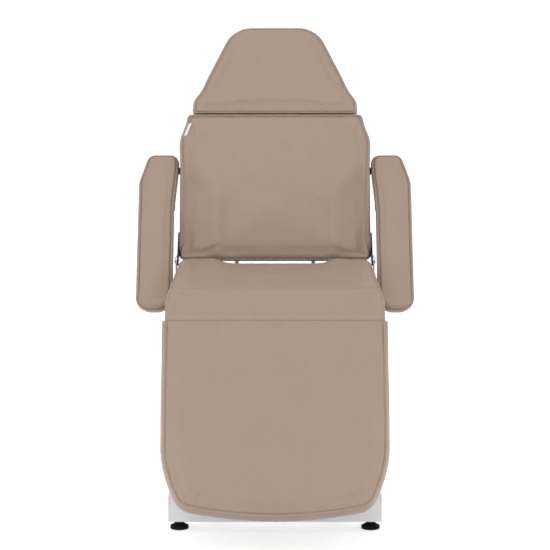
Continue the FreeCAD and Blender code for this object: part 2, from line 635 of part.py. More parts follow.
def stay(side):
    """A bent rod: an arc about the back hinge, a straight run up and a pad on the back board."""
    def spot(angle):
        turn = math.radians(angle) - math.radians(size.back_angle)
        return Vector(0, math.sin(turn), -math.cos(turn)) * size.stay_bend
    middle_angle = (size.stay_low_angle + size.stay_high_angle) / 2
    low, middle, high = (spot(size.stay_low_angle), spot(middle_angle), spot(size.stay_high_angle))
    rise = math.radians(size.stay_high_angle) - math.radians(size.back_angle)
    along = Vector(0, math.cos(rise), math.sin(rise))
    run = (-num(BACK_BOARD_REAR) - size.stay_pad_thickness / 2 - high.z) / along.z
    top = high + along * run
    path = Part.Wire([arc(low, middle, high), line(high, top)])
    start_turn = math.radians(size.stay_low_angle) - math.radians(size.back_angle)
    tangent = Vector(0, math.cos(start_turn), math.sin(start_turn))
    ring = Part.Wire([Part.makeCircle(size.stay_radius, low, tangent)])
    bar = path.makePipeShell([ring], True, False)
    pad_low = Vector(-size.stay_pad_side / 2, top.y - size.stay_pad_side / 2,
                     -num(BACK_BOARD_REAR) - size.stay_pad_thickness)
    plate = Part.makeBox(size.stay_pad_side, size.stay_pad_side, size.stay_pad_thickness, pad_low)
    board_side = Part.makeBox(size.stay_pad_side, size.stay_pad_side, size.stay_pad_side,
                              pad_low + Vector(0, 0, size.stay_pad_thickness))
    shape = bar.fuse(plate).cut(board_side).removeSplitter()
    shape.translate(Vector(side * size.stay_spread, 0, 0))
    return shape


def clamp_block(side):
    """A block under the stay cross tube with a curved bore for the stay."""
    half = size.clamp_width / 2
    rear = size.stay_cross_rear
    block = Part.makeBox(size.clamp_width, size.cross_width, size.clamp_height,
                         Vector(-half, rear - size.cross_width, num(FRAME_LOW) - size.clamp_height))
    hinge = Vector(0, size.back_axis_y, num(BACK_AXIS_Z))
    bore = Part.makeTorus(size.stay_bend, size.stay_radius + size.fit_gap, hinge, X_AXIS)
    shaft = Part.makeCylinder(size.lever_shaft_radius + size.pin_gap, size.clamp_width,
                              Vector(-half, size.lever_shaft_y, num(FRAME_LOW) - size.lever_shaft_drop),
                              X_AXIS)
    shape = block.cut(bore).cut(shaft)
    shape.translate(Vector(side * size.stay_spread, 0, 0))
    return shape


# Floor frame
def base_beam(name, front, rear):
    half = "dim.beam_length / 2"
    beam = tube(name + "_tube", ("-" + half, half), (front, rear), (BEAM_LOW, BEAM_TOP),
                "dim.beam_wall", "X")
    holes = []
    for side_name, side in SIDES.items():
        holes.append(rod("%s_%s_hole" % (name, side_name), "Z", "dim.stem_radius + dim.fit_gap",
                         "%s - dim.overrun" % BEAM_LOW, "dim.beam_wall + 2 * dim.overrun",
                         x="%d * %s" % (side, FOOT_SPREAD), y="((%s) + (%s)) / 2" % (front, rear)))
    return keep(cut(name, beam, *holes))


def beam_caps():
    caps = []
    for end_name, (front, rear) in BEAM_ENDS.items():
        for side_name, side in SIDES.items():
            name = "cap_%s_%s" % (end_name, side_name)
            half = "dim.beam_length / 2"
            lip = box(name + "_lip", span(side, half, "%s + dim.cap_lip" % half), (front, rear),
                      (BEAM_LOW, BEAM_TOP))
            wall = "dim.beam_wall + dim.fit_gap"
            plug = box(name + "_plug", span(side, "%s - dim.cap_plug" % half, half),
                       ("%s + %s" % (front, wall), "%s - (%s)" % (rear, wall)),
                       ("%s + %s" % (BEAM_LOW, wall), "%s - (%s)" % (BEAM_TOP, wall)))
            caps.append(join(name, lip, plug))
    return keep(group("beam_end_caps", caps))


def levelling_foot(end_name, side_name, x, y):
    name = "foot_%s_%s" % (end_name, side_name)
    cone_low = "dim.foot_rim"
    neck_low = "(dim.foot_rim + dim.foot_cone)"
    neck_top = "(dim.foot_height - dim.fit_gap)"
    rim = rod(name + "_rim", "Z", "dim.foot_radius", "0", "dim.foot_rim", x=x, y=y)
    flare = cone(name + "_flare", "dim.foot_radius", "dim.foot_neck_radius", cone_low, "dim.foot_cone",
                 x, y)
    neck = rod(name + "_neck", "Z", "dim.foot_neck_radius", neck_low, "%s - %s" % (neck_top, neck_low),
               x=x, y=y)
    stem = rod(name + "_stem", "Z", "dim.stem_radius", neck_top, "dim.stem_length", x=x, y=y)
    return keep(join(name, rim, flare, neck, stem))


BEAM_ENDS = {"front": ("-dim.base_front", "-dim.base_front + dim.beam_depth"),
             "rear": ("dim.base_rear - dim.beam_depth", "dim.base_rear")}
for end_name, (front, rear) in BEAM_ENDS.items():
    base_beam("base_%s_beam" % end_name, front, rear)
for side_name, side in SIDES.items():
    x = span(side, "%s - dim.rail_width / 2" % RAIL_SPREAD, "%s + dim.rail_width / 2" % RAIL_SPREAD)
    rail = tube("base_rail_" + side_name, x, (BEAM_ENDS["front"][1], BEAM_ENDS["rear"][0]),
                ("%s - dim.rail_height" % RAIL_TOP, RAIL_TOP), "dim.beam_wall", "Y")
    pair("base_rails", rail)
beam_caps()
weld_nuts = []
for end_name, (front, rear) in BEAM_ENDS.items():
    for side_name, side in SIDES.items():
        x = "%d * %s" % (side, FOOT_SPREAD)
        y = "((%s) + (%s)) / 2" % (front, rear)
        levelling_foot(end_name, side_name, x, y)
        name = "weld_nut_%s_%s" % (end_name, side_name)
        nut_low = "%s + dim.beam_wall" % BEAM_LOW
        body = rod(name + "_body", "Z", "dim.weld_nut_radius", nut_low, "dim.weld_nut_height", x=x, y=y)
        thread = rod(name + "_thread", "Z", "dim.stem_radius + dim.pin_gap",
                     "%s - dim.overrun" % nut_low, "dim.weld_nut_height + 2 * dim.overrun", x=x, y=y)
        weld_nuts.append(cut(name, body, thread))
keep(group("foot_weld_nuts", weld_nuts))


# Deck, column and ram
def flange_bolts(name, radius, start, length):
    bars = []
    for x_name, x_side in SIDES.items():
        for y_name, y_side in SIDES.items():
            bars.append(rod("%s_%s_%s" % (name, x_name, y_name), "Z", radius, start, length,
                            x="%d * dim.flange_bolt_spread" % x_side,
                            y="%d * dim.flange_bolt_spread" % y_side))
    return bars


def square(name, side, low, high, wall):
    half = "%s / 2" % side
    return tube(name, ("-" + half, half), ("-" + half, half), (low, high), wall, "Z")


bolt_hole = "dim.bolt_radius + dim.fit_gap"
deck_half = "(%s + dim.rail_width / 2)" % RAIL_SPREAD
deck = box("deck_sheet", ("-" + deck_half, deck_half), ("-dim.deck_front", "dim.deck_rear"),
           (RAIL_TOP, DECK_TOP))
deck_holes = flange_bolts("deck_hole", bolt_hole, "%s - dim.overrun" % RAIL_TOP,
                          "dim.deck_thickness + 2 * dim.overrun")
keep(cut("deck_plate", deck, *deck_holes))
pipe_z = "(%s + dim.pipe_lift)" % DECK_TOP
column = square("column_tube", "dim.column_side", DECK_TOP, COLUMN_TOP, "dim.column_wall")
port = rod("column_port", "Y", "dim.pipe_radius + 2 * dim.fit_gap", "0", "dim.column_side", z=pipe_z)
column = cut("column_drilled", column, port)
flange_wall = "(dim.flange_side - dim.column_side) / 2"
flange_top = "(%s + dim.flange_thickness)" % DECK_TOP
flange = square("flange_sheet", "dim.flange_side", DECK_TOP, flange_top, flange_wall)
flange_holes = flange_bolts("flange_hole", bolt_hole, "%s - dim.overrun" % DECK_TOP,
                            "dim.flange_thickness + 2 * dim.overrun")
keep(join("column_outer", column, cut("column_flange", flange, *flange_holes)))
nut_low = "(%s - dim.bolt_head_height)" % RAIL_TOP
heads = flange_bolts("bolt_head", "dim.bolt_head_radius", flange_top, "dim.bolt_head_height")
shanks = flange_bolts("bolt_shank", "dim.bolt_radius", nut_low, "%s - %s" % (flange_top, nut_low))
bolts = [join("flange_bolt_%d" % number, head, shank)
         for number, (head, shank) in enumerate(zip(heads, shanks), start=1)]
nuts = flange_bolts("nut_body", "dim.bolt_head_radius", nut_low, "dim.bolt_head_height")
threads = flange_bolts("nut_thread", "dim.bolt_radius + dim.pin_gap", "%s - dim.overrun" % nut_low,
                       "dim.bolt_head_height + 2 * dim.overrun")
nuts = [cut("flange_nut_%d" % number, body, thread)
        for number, (body, thread) in enumerate(zip(nuts, threads), start=1)]
keep(group("flange_fasteners", bolts + nuts))
collar_side = "(dim.slider_side + 2 * dim.fit_gap + 2 * dim.collar_width)"
collar_top = "(%s + dim.collar_height)" % COLUMN_TOP
keep(square("column_collar", collar_side, COLUMN_TOP, collar_top, "dim.collar_width"))
block_half = "dim.ram_block_side / 2"
block_span = ("-" + block_half, block_half)
keep(box("ram_block", block_span, block_span, (DECK_TOP, RAM_LOW)))


def sleeve(name, outer, inner, low, height):
    body = rod(name + "_body", "Z", outer, low, height)
    bore = rod(name + "_bore", "Z", inner, "%s - dim.overrun" % low, "%s + 2 * dim.overrun" % height)
    return keep(cut(name, body, bore))


sleeve("ram_barrel", "dim.barrel_radius", "dim.barrel_bore", RAM_LOW, BARREL_LENGTH)
sleeve("ram_gland", "dim.barrel_radius", "dim.ram_radius + dim.pin_gap",
       "(%s + %s)" % (RAM_LOW, BARREL_LENGTH), "dim.gland_height")
piston_low = "(%s + dim.piston_lift)" % RAM_LOW
sleeve("ram_piston", "dim.barrel_bore - dim.pin_gap", "dim.ram_radius", piston_low, "dim.piston_height")
keep(rod("ram_rod", "Z", "dim.ram_radius", piston_low, "%s - %s" % (LIFT_TOP, piston_low)))
slider_low = "(%s + dim.slider_lift)" % DECK_TOP
keep(square("column_slider", "dim.slider_side", slider_low, LIFT_TOP, "dim.column_wall"))
glide_wall = "((dim.column_side - 2 * dim.column_wall - 2 * dim.fit_gap - dim.slider_side) / 2)"
keep(square("slider_glide", "(dim.slider_side + 2 * %s)" % glide_wall, slider_low,
            "(%s + dim.glide_height)" % slider_low, glide_wall))

# Pump, oil tank and pedal
pump_half = "dim.pump_width / 2"
pump_rear = "dim.pump_front + dim.pump_length"
pedal_z = "(%s + dim.pedal_axis_lift)" % DECK_TOP
pump = box("pump_casting", ("-" + pump_half, pump_half), ("dim.pump_front", pump_rear),
           (DECK_TOP, "%s + dim.pump_height" % DECK_TOP))
keep(cut("pump_block", pump, rod("pump_bore", "X", "dim.pedal_shaft_radius + dim.pin_gap",
                                 "-%s - dim.overrun" % pump_half, "dim.pump_width + 2 * dim.overrun",
                                 y="dim.pedal_axis_y", z=pedal_z)))
tank_x = "-(%s + dim.tank_gap + dim.tank_radius)" % pump_half
tank_y = "(dim.pump_front + dim.pump_length / 2)"
tank = rod("tank_can", "Z", "dim.tank_radius", DECK_TOP, "dim.tank_height", x=tank_x, y=tank_y)
filler = rod("filler_cap", "Z", "dim.filler_radius", "%s + dim.tank_height" % DECK_TOP,
             "dim.filler_height", x=tank_x, y=tank_y)
keep(join("oil_tank", tank, filler))
feed = rod("feed_bar", "X", "dim.pipe_radius", tank_x, "dim.tank_radius + dim.tank_gap",
           y=tank_y, z=pipe_z)
feed_seat = rod("feed_seat", "Z", "dim.tank_radius", DECK_TOP, "dim.tank_height", x=tank_x, y=tank_y)
pair("oil_pipes", cut("feed_pipe", feed, feed_seat))
pressure = rod("pressure_pipe", "Y", "dim.pipe_radius", block_half, "dim.pump_front - %s" % block_half,
               z=pipe_z)
pair("oil_pipes", pressure)
pedal_frame = frame_at(size.pedal_axis_y, num(pedal_z), size.pedal_tilt)
arm_near = "(%s + dim.fit_gap)" % pump_half
arm_far = "(%s + dim.pedal_arm_width)" % arm_near
shaft = rod("pedal_shaft", "X", "dim.pedal_shaft_radius", "-(%s)" % arm_far, "2 * (%s)" % arm_far)
for side_name, side in SIDES.items():
    name = "pedal_arm_" + side_name
    x = span(side, arm_near, arm_far)
    width = "dim.pedal_arm_width"
    bar = box(name + "_bar", x, ("0", "dim.pedal_reach"),
              ("-dim.pedal_arm_height / 2", "dim.pedal_arm_height / 2"))
    hub = rod(name + "_hub", "X", "dim.pedal_hub_radius", x[0], width)
    tip = rod(name + "_tip", "X", "dim.pedal_arm_height / 2", x[0], width, y="dim.pedal_reach")
    bore = rod(name + "_bore", "X", "dim.pedal_shaft_radius", "%s - dim.overrun" % x[0],
               "%s + 2 * dim.overrun" % width)
    pair("pedal_arms", cut(name, join(name + "_lever", bar, hub, tip), bore), pedal_frame)
grip_length = "(2 * (%s) - 2 * dim.fit_gap)" % arm_near
bar_solid = rod("pedal_bar_rod", "X", "dim.pedal_bar_radius", "-(%s)" % arm_near,
                "2 * (%s)" % arm_near, y="dim.pedal_reach")
keep(group("pedal_rods", [shaft, bar_solid]), pedal_frame)
grip_body = rod("grip_body", "X", "dim.pedal_grip_radius", "-(%s) / 2" % grip_length, grip_length,
                y="dim.pedal_reach")
grip_bore = rod("grip_bore", "X", "dim.pedal_bar_radius", "-(%s)" % grip_length, "2 * %s" % grip_length,
                y="dim.pedal_reach")
keep(cut("pedal_grip", grip_body, grip_bore), pedal_frame)

# Seat frame
lift_half = "dim.lift_plate_width / 2"
keep(box("lift_plate", ("-" + lift_half, lift_half),
         ("-dim.cross_front", "dim.cross_rear + dim.cross_width"), (LIFT_TOP, FRAME_LOW)))
rail_inner = "(dim.frame_spread - dim.frame_width / 2)"
rail_outer = "(dim.frame_spread + dim.frame_width / 2)"
for side_name, side in SIDES.items():
    rail = tube("seat_rail_" + side_name, span(side, rail_inner, rail_outer),
                ("-dim.frame_front", "dim.frame_rear"), (FRAME_LOW, FRAME_TOP), "dim.frame_wall", "Y")
    pair("seat_rails", rail)
CROSS_TUBES = {"seat_cross_front": ("-dim.cross_front", "-dim.cross_front + dim.cross_width"),
               "seat_cross_rear": ("dim.cross_rear - dim.cross_width", "dim.cross_rear")}
keep(tube("stay_cross_tube", ("-" + rail_inner, rail_inner),
          ("dim.stay_cross_rear - dim.cross_width", "dim.stay_cross_rear"), (FRAME_LOW, FRAME_TOP),
          "dim.frame_wall", "X"))
for name, y in CROSS_TUBES.items():
    cross = tube(name, ("-" + rail_inner, rail_inner), y, (FRAME_LOW, FRAME_TOP), "dim.frame_wall", "X")
    pair("seat_cross_tubes", cross)
board_inset = "dim.seat_board_inset"
board_points = [("-(dim.seat_front_half - %s)" % board_inset, "-%s" % SEAT_BOARD_FRONT),
                ("dim.seat_front_half - %s" % board_inset, "-%s" % SEAT_BOARD_FRONT),
                ("dim.seat_rear_half - %s" % board_inset, "dim.seat_rear - %s" % board_inset),
                ("-(dim.seat_rear_half - %s)" % board_inset, "dim.seat_rear - %s" % board_inset)]
keep(profile("seat_board", "XY_Plane", board_points, FRAME_TOP, "dim.seat_board_thickness"))
keep(feature("seat_pad", seat_pad()))

# Leg rest and its hinges
bracket_near = "(%s - dim.leg_strap_thickness)" % rail_inner
strap_far = "(%s - dim.fit_gap)" % bracket_near
strap_near = "(%s - dim.leg_strap_thickness)" % strap_far
leg_z = "(dim.seat_height - dim.roll_radius)"
leg_board_low = "(%s - dim.leg_board_thickness)" % LEG_BOARD_FRONT
strap_step = "-(dim.roll_radius + dim.overrun)"
leg_pins = []
for side_name, side in SIDES.items():
    x = span(side, bracket_near, rail_inner)
    name = "leg_bracket_" + side_name
    plate = box(name + "_plate", x, ("-dim.leg_axis_y", "-dim.leg_axis_y + dim.leg_bracket_length"),
                ("%s - dim.leg_eye_radius" % leg_z, "%s + dim.leg_eye_radius" % leg_z))
    eye = rod(name + "_eye", "X", "dim.leg_eye_radius", x[0], "dim.leg_strap_thickness",
              y="-dim.leg_axis_y", z=leg_z)
    hole = rod(name + "_hole", "X", "dim.leg_pin_radius + dim.pin_gap", "%s - dim.overrun" % x[0],
               "dim.leg_strap_thickness + 2 * dim.overrun", y="-dim.leg_axis_y", z=leg_z)
    pair("leg_brackets", cut(name, join(name + "_solid", plate, eye), hole))
    name = "leg_strap_" + side_name
    x = span(side, strap_near, strap_far)
    points = [("0", "-dim.leg_eye_radius"), ("0", "dim.leg_strap_top"), (strap_step, "dim.leg_strap_top"),
              (strap_step, leg_board_low), ("-dim.leg_strap_length", leg_board_low),
              ("-dim.leg_strap_length", "dim.leg_strap_top"),
              ("-dim.leg_strap_taper_share * dim.leg_strap_length", "-dim.leg_eye_radius")]
    plate = profile(name + "_plate", "YZ_Plane", points, x[0], "dim.leg_strap_thickness")
    eye = rod(name + "_eye", "X", "dim.leg_eye_radius", x[0], "dim.leg_strap_thickness")
    hole = rod(name + "_hole", "X", "dim.leg_pin_radius + dim.pin_gap", "%s - dim.overrun" % x[0],
               "dim.leg_strap_thickness + 2 * dim.overrun")
    pair("leg_straps", cut(name, join(name + "_solid", plate, eye), hole), leg_frame)
    shank_x = span(side, strap_near, rail_inner)
    shank = rod("leg_bolt_shank_" + side_name, "X", "dim.leg_pin_radius", shank_x[0],
                "%s - (%s)" % (shank_x[1], shank_x[0]), y="-dim.leg_axis_y", z=leg_z)
    head_x = span(side, "%s - dim.fit_gap - dim.leg_pin_head" % strap_near,
                  "%s - dim.fit_gap" % strap_near)
    head = rod("leg_bolt_head_" + side_name, "X", "2 * dim.leg_pin_radius", head_x[0], "dim.leg_pin_head",
               y="-dim.leg_axis_y", z=leg_z)
    neck_x = span(side, "%s - dim.fit_gap" % strap_near, strap_near)
    neck = rod("leg_bolt_neck_" + side_name, "X", "dim.leg_pin_radius", neck_x[0], "dim.fit_gap",
               y="-dim.leg_axis_y", z=leg_z)
    leg_pins.append(join("leg_bolt_" + side_name, shank, neck, head))
cross_y = "-dim.leg_cross_share * dim.leg_strap_length"
leg_tube = tube("leg_cross_tube", ("-" + strap_near, strap_near),
                ("%s - dim.leg_cross_side" % cross_y, cross_y),
                ("%s - dim.leg_cross_side" % leg_board_low, leg_board_low), "dim.frame_wall", "X")
keep(leg_tube, leg_frame)
board_outline = leg_outline(size.leg_board_inset)
board_front = size.roll_radius + size.overrun
leg_panel = slab(board_outline, num(leg_board_low), size.leg_board_thickness)
leg_panel = leg_panel.cut(Part.makeBox(4 * size.leg_half, 2 * board_front, 4 * board_front,
                                       Vector(-2 * size.leg_half, -board_front, -2 * board_front)))
keep(feature("leg_board", leg_panel), leg_frame)
keep(feature("leg_pad", leg_pad()), leg_frame)

# Back rest, its hinges and stays
hinge_bolts = []
bracket_rear = "(dim.back_axis_y + dim.hinge_eye_radius)"
for side_name, side in SIDES.items():
    name = "back_bracket_" + side_name
    x = span(side, BRACKET_X, "%s + dim.hinge_plate" % BRACKET_X)
    shelf_z = ("%s - dim.hinge_bracket_shelf" % FRAME_TOP, FRAME_TOP)
    shelf = box(name + "_shelf", span(side, rail_outer, "%s + dim.hinge_plate" % BRACKET_X),
                ("%s - dim.hinge_bracket_length" % bracket_rear, bracket_rear), shelf_z)
    post = box(name + "_post", x, ("dim.back_axis_y - dim.hinge_eye_radius", bracket_rear),
               (FRAME_TOP, BACK_AXIS_Z))
    eye = rod(name + "_eye", "X", "dim.hinge_eye_radius", x[0], "dim.hinge_plate",
              y="dim.back_axis_y", z=BACK_AXIS_Z)
    hole = rod(name + "_hole", "X", "dim.hinge_pin_radius + dim.pin_gap", "%s - dim.overrun" % x[0],
               "dim.hinge_plate + 2 * dim.overrun", y="dim.back_axis_y", z=BACK_AXIS_Z)
    pair("back_brackets", cut(name, join(name + "_solid", shelf, post, eye), hole))
    name = "back_hinge_arm_" + side_name
    x = span(side, HINGE_ARM_X, "%s + dim.hinge_plate" % HINGE_ARM_X)
    rear_low = "(%s + dim.hinge_plate)" % BACK_BOARD_REAR
    wing = [("0", "-dim.hinge_eye_radius"), ("0", "dim.hinge_eye_radius"),
            ("dim.hinge_arm_height", "-%s" % BACK_BOARD_FRONT), ("dim.hinge_arm_height", "-%s" % rear_low),
            ("dim.hinge_eye_radius", "-%s" % rear_low)]
    plate = profile(name + "_plate", "YZ_Plane", wing, x[0], "dim.hinge_plate")
    eye = rod(name + "_eye", "X", "dim.hinge_eye_radius", x[0], "dim.hinge_plate")
    flange_x = span(side, "%s - dim.hinge_flange" % HINGE_ARM_X, "%s + dim.hinge_plate" % HINGE_ARM_X)
    flange = box(name + "_flange", flange_x,
                 ("dim.hinge_flange_share * dim.hinge_arm_height", "dim.hinge_arm_height"),
                 ("-%s" % rear_low, "-%s" % BACK_BOARD_REAR))
    hole = rod(name + "_hole", "X", "dim.hinge_pin_radius + dim.pin_gap", "%s - dim.overrun" % x[0],
               "dim.hinge_plate + 2 * dim.overrun")
    pair("back_hinge_arms", cut(name, join(name + "_solid", plate, eye, flange), hole), back_frame)
    shank_x = span(side, HINGE_ARM_X, "%s + dim.hinge_plate" % BRACKET_X)
    shank = rod("hinge_shank_" + side_name, "X", "dim.hinge_pin_radius", shank_x[0],
                "%s - (%s)" % (shank_x[1], shank_x[0]), y="dim.back_axis_y", z=BACK_AXIS_Z)
    head_x = span(side, "%s + dim.hinge_plate" % BRACKET_X,
                  "%s + dim.hinge_plate + dim.hinge_head" % BRACKET_X)
    head = rod("hinge_head_" + side_name, "X", "dim.hinge_head_radius", head_x[0], "dim.hinge_head",
               y="dim.back_axis_y", z=BACK_AXIS_Z)
    hinge_bolts.append(join("hinge_bolt_" + side_name, shank, head))
keep(group("hinge_bolts", leg_pins + hinge_bolts))
back_panel = slab(back_outline(size.back_board_inset), -num(BACK_BOARD_REAR), size.back_board_thickness)
keep(feature("back_board", back_panel), back_frame)
back_cushion = cushion(back_outline, -num(BACK_BOARD_FRONT), size.back_pad_thickness, size.back_edge_round)
keep(feature("back_pad", back_cushion), back_frame)
for side_name, side in SIDES.items():
    pair("back_stays", feature("back_stay_" + side_name, stay(side)), back_frame)
    pair("stay_clamps", feature("stay_clamp_" + side_name, clamp_block(side)))

# Release lever under the seat's rear
lever_z = "(%s - dim.lever_shaft_drop)" % FRAME_LOW
lever_near = "(%s + dim.lever_clear)" % rail_outer
lever_far = "(%s + dim.lever_bar_width)" % lever_near
shaft_low = "-(dim.stay_spread + dim.clamp_width)"
shaft = rod("release_rod", "X", "dim.lever_shaft_radius", shaft_low, "%s - (%s)" % (lever_far, shaft_low),
            y="dim.lever_shaft_y", z=lever_z)
grip_y = "(dim.lever_shaft_y - dim.lever_length)"
bar = box("release_bar", (lever_near, lever_far), (grip_y, "dim.lever_shaft_y"),
          ("%s - dim.lever_bar_height / 2" % lever_z, "%s + dim.lever_bar_height / 2" % lever_z))
boss = rod("release_boss", "X", "dim.lever_bar_height / 2", lever_near, "dim.lever_bar_width",
           y="dim.lever_shaft_y", z=lever_z)
grip_x = "((%s + %s) / 2)" % (lever_near, lever_far)
keep(join("release_lever", shaft, bar, boss))
grip_tail = "dim.lever_bar_width"
grip_body = rod("release_grip_body", "Y", "dim.lever_grip_radius", "%s - %s" % (grip_y, grip_tail),
                "dim.lever_grip_length", x=grip_x, z=lever_z)
grip_slot = box("release_grip_slot", (lever_near, lever_far), (grip_y, "dim.lever_shaft_y"),
                ("%s - dim.lever_bar_height / 2" % lever_z, "%s + dim.lever_bar_height / 2" % lever_z))
keep(cut("release_grip", grip_body, grip_slot))

# Headrest and its hinges
head_low = size.back_face + size.head_axis_depth - size.head_pad_thickness
head_board_low = head_low - size.head_board_thickness
head_cushion = cushion(head_outline, head_low, size.head_pad_thickness, size.head_edge_round)
keep(feature("head_pad", head_cushion), head_frame)
keep(feature("head_board", slab(head_outline(size.head_board_inset), head_board_low,
                                size.head_board_thickness)), head_frame)
HEAD_FACE = "(dim.back_face + dim.head_axis_depth)"
HEAD_BOARD_REAR = "(dim.head_pad_thickness + dim.head_board_thickness - %s)" % HEAD_FACE
BACK_STRAP_INSET = "(dim.back_board_inset + dim.head_axis - dim.back_end)"
HEAD_STRAP_INSET = "(dim.head_board_inset + dim.head_start)"
STRAP_BOARD_REAR = "(%s - dim.head_axis_depth)" % BACK_BOARD_REAR
head_strap_near = "dim.strap_spread + dim.strap_thickness + dim.fit_gap"
head_pins = []
for side_name, side in SIDES.items():
    # Each strap lies on the rear of its board and reaches round the board's end to the pin
    for owner, near, inset, board_rear, direction in (
            ("back", "dim.strap_spread", BACK_STRAP_INSET, STRAP_BOARD_REAR, -1),
            ("head", head_strap_near, HEAD_STRAP_INSET, HEAD_BOARD_REAR, 1)):
        name = "%s_strap_%s" % (owner, side_name)
        x = span(side, near, "%s + dim.strap_thickness" % near)
        first = "%d * (%s + dim.fit_gap)" % (direction, inset)
        last = "%d * (%s + dim.strap_reach)" % (direction, inset)
        rear = "-(%s + dim.strap_depth)" % board_rear
        points = [("0", "dim.strap_eye_radius"), ("0", rear), (last, rear), (last, "-%s" % board_rear),
                  (first, "-%s" % board_rear),
                  ("%d * dim.strap_eye_radius" % direction, "0")]
        if owner == "back":
            points = list(reversed(points))
        plate = profile(name + "_plate", "YZ_Plane", points, x[0], "dim.strap_thickness")
        eye = rod(name + "_eye", "X", "dim.strap_eye_radius", x[0], "dim.strap_thickness")
        hole = rod(name + "_hole", "X", "dim.strap_pin_radius + dim.pin_gap", "%s - dim.overrun" % x[0],
                   "dim.strap_thickness + 2 * dim.overrun")
        pair(owner + "_straps", cut(name, join(name + "_solid", plate, eye), hole), head_frame)
    pin_far = "dim.strap_spread + 2 * dim.strap_thickness + 2 * dim.fit_gap"
    pin_x = span(side, "dim.strap_spread - dim.fit_gap", pin_far)
    head_pins.append(rod("head_pin_" + side_name, "X", "dim.strap_pin_radius", pin_x[0],
                         "%s - (%s)" % (pin_x[1], pin_x[0])))
keep(group("head_hinge_pins", head_pins), head_frame)

# Armrests and their mounts
mount_near = size.back_half - size.arm_mount_length
hub_near = num(ARM_TOP_INNER) + size.fit_gap
for side_name, side in SIDES.items():
    outward = X_AXIS * side

    def on_pivot(x):
        """A point on the armrest pivot's axis, in the back's frame."""
        return Vector(side * x, size.arm_axis, -size.arm_axis_depth)

    mount = Part.makeBox(size.arm_mount_length, size.arm_mount_height, size.arm_mount_depth,
                         Vector(min(side * size.back_half, side * mount_near),
                                size.arm_axis - size.arm_mount_height / 2,
                                -num(BACK_BOARD_REAR) - size.arm_mount_depth))
    socket = Part.makeCylinder(size.arm_pin_radius, size.arm_mount_length, on_pivot(mount_near), outward)
    pair("arm_mounts", feature("arm_mount_" + side_name, mount.cut(socket)), back_frame)
    pin = Part.makeCylinder(size.arm_pin_radius, hub_near + size.arm_hub_length - mount_near,
                            on_pivot(mount_near), outward)
    pair("arm_pins", feature("arm_pin_" + side_name, pin), back_frame)
    ring = Part.makeCylinder(size.arm_spacer_radius, num(ARM_TOP_INNER) - size.back_half,
                             on_pivot(size.back_half), outward)
    pair("arm_spacers", feature("arm_spacer_" + side_name, ring.cut(pin)), back_frame)
    hub = Part.makeCylinder(size.arm_hub_radius, size.arm_hub_length, outward * hub_near, outward)
    bore = Part.makeCylinder(size.arm_pin_radius + size.pin_gap, size.arm_hub_length,
                             outward * hub_near, outward)
    strap_mid = side * (hub_near + size.arm_hub_length / 2)
    strap = Part.makeBox(size.arm_strap_width, size.arm_strap_length, size.arm_strap_thickness,
                         Vector(strap_mid - size.arm_strap_width / 2, -size.arm_strap_length,
                                -size.arm_strap_thickness))
    keep(feature("arm_hub_" + side_name, hub.fuse(strap).cut(bore).removeSplitter()), arm_frame)
    outline = partial(arm_outline, side)
    board = slab(outline(size.arm_board_inset), 0, size.arm_rise)
    reach = size.arm_inner + size.arm_width
    clear = Part.makeBox(2 * reach, 2 * size.arm_hub_radius + size.arm_top, 2 * size.arm_rise,
                         Vector(-reach, -size.arm_hub_radius - size.fit_gap, -size.arm_rise / 2))
    keep(feature("arm_board_" + side_name, board.cut(clear)), arm_frame)
    arm_cushion = cushion(outline, size.arm_rise, size.arm_pad_thickness, size.arm_edge_round)
    keep(feature("arm_pad_" + side_name, arm_cushion), arm_frame)

for name, (halves, frame) in pairs.items():
    keep(group(name, halves), frame)
doc.recompute()

faults = []
for obj in doc.Objects:
    if "Invalid" in obj.State or "Error" in obj.State:
        faults.append("%s: %s" % (obj.Label, obj.State))
for piece in pieces:
    if piece.Shape.isNull() or not piece.Shape.isValid() or not piece.Shape.Solids:
        faults.append("%s: bad shape" % piece.Label)
if faults:
    raise RuntimeError("; ".join(faults))

os.makedirs("parts", exist_ok=True)
for piece in pieces:
    piece.Shape.exportStep(os.path.join("parts", piece.Label + ".step"))
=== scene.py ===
import json
import math

import bmesh
import bpy
import numpy as np
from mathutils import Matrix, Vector, geometry, kdtree


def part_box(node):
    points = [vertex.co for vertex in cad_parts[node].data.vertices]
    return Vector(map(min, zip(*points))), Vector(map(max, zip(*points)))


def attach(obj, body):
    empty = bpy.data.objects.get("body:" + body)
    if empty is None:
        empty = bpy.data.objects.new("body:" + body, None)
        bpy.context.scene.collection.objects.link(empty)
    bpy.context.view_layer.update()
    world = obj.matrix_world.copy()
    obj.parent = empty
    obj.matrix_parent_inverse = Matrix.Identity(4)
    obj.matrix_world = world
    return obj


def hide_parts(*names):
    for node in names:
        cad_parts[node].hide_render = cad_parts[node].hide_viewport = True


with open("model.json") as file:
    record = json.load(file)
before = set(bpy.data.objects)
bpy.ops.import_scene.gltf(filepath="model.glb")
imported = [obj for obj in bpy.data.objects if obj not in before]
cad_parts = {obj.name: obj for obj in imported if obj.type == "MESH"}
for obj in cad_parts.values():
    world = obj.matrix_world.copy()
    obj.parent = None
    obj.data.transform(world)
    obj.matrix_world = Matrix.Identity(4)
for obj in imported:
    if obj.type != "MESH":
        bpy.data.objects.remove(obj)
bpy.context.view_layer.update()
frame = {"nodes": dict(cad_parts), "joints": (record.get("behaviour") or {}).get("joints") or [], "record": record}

bl_info = {
    "name": "Beauty chair finish",
    "version": (1, 0, 0),
    "blender": (4, 5, 0),
    "location": "View3D > Sidebar > Chair",
    "description": "Upholsters and paints a foot-pumped beauty chair on its packed frame",
    "category": "Object",
}

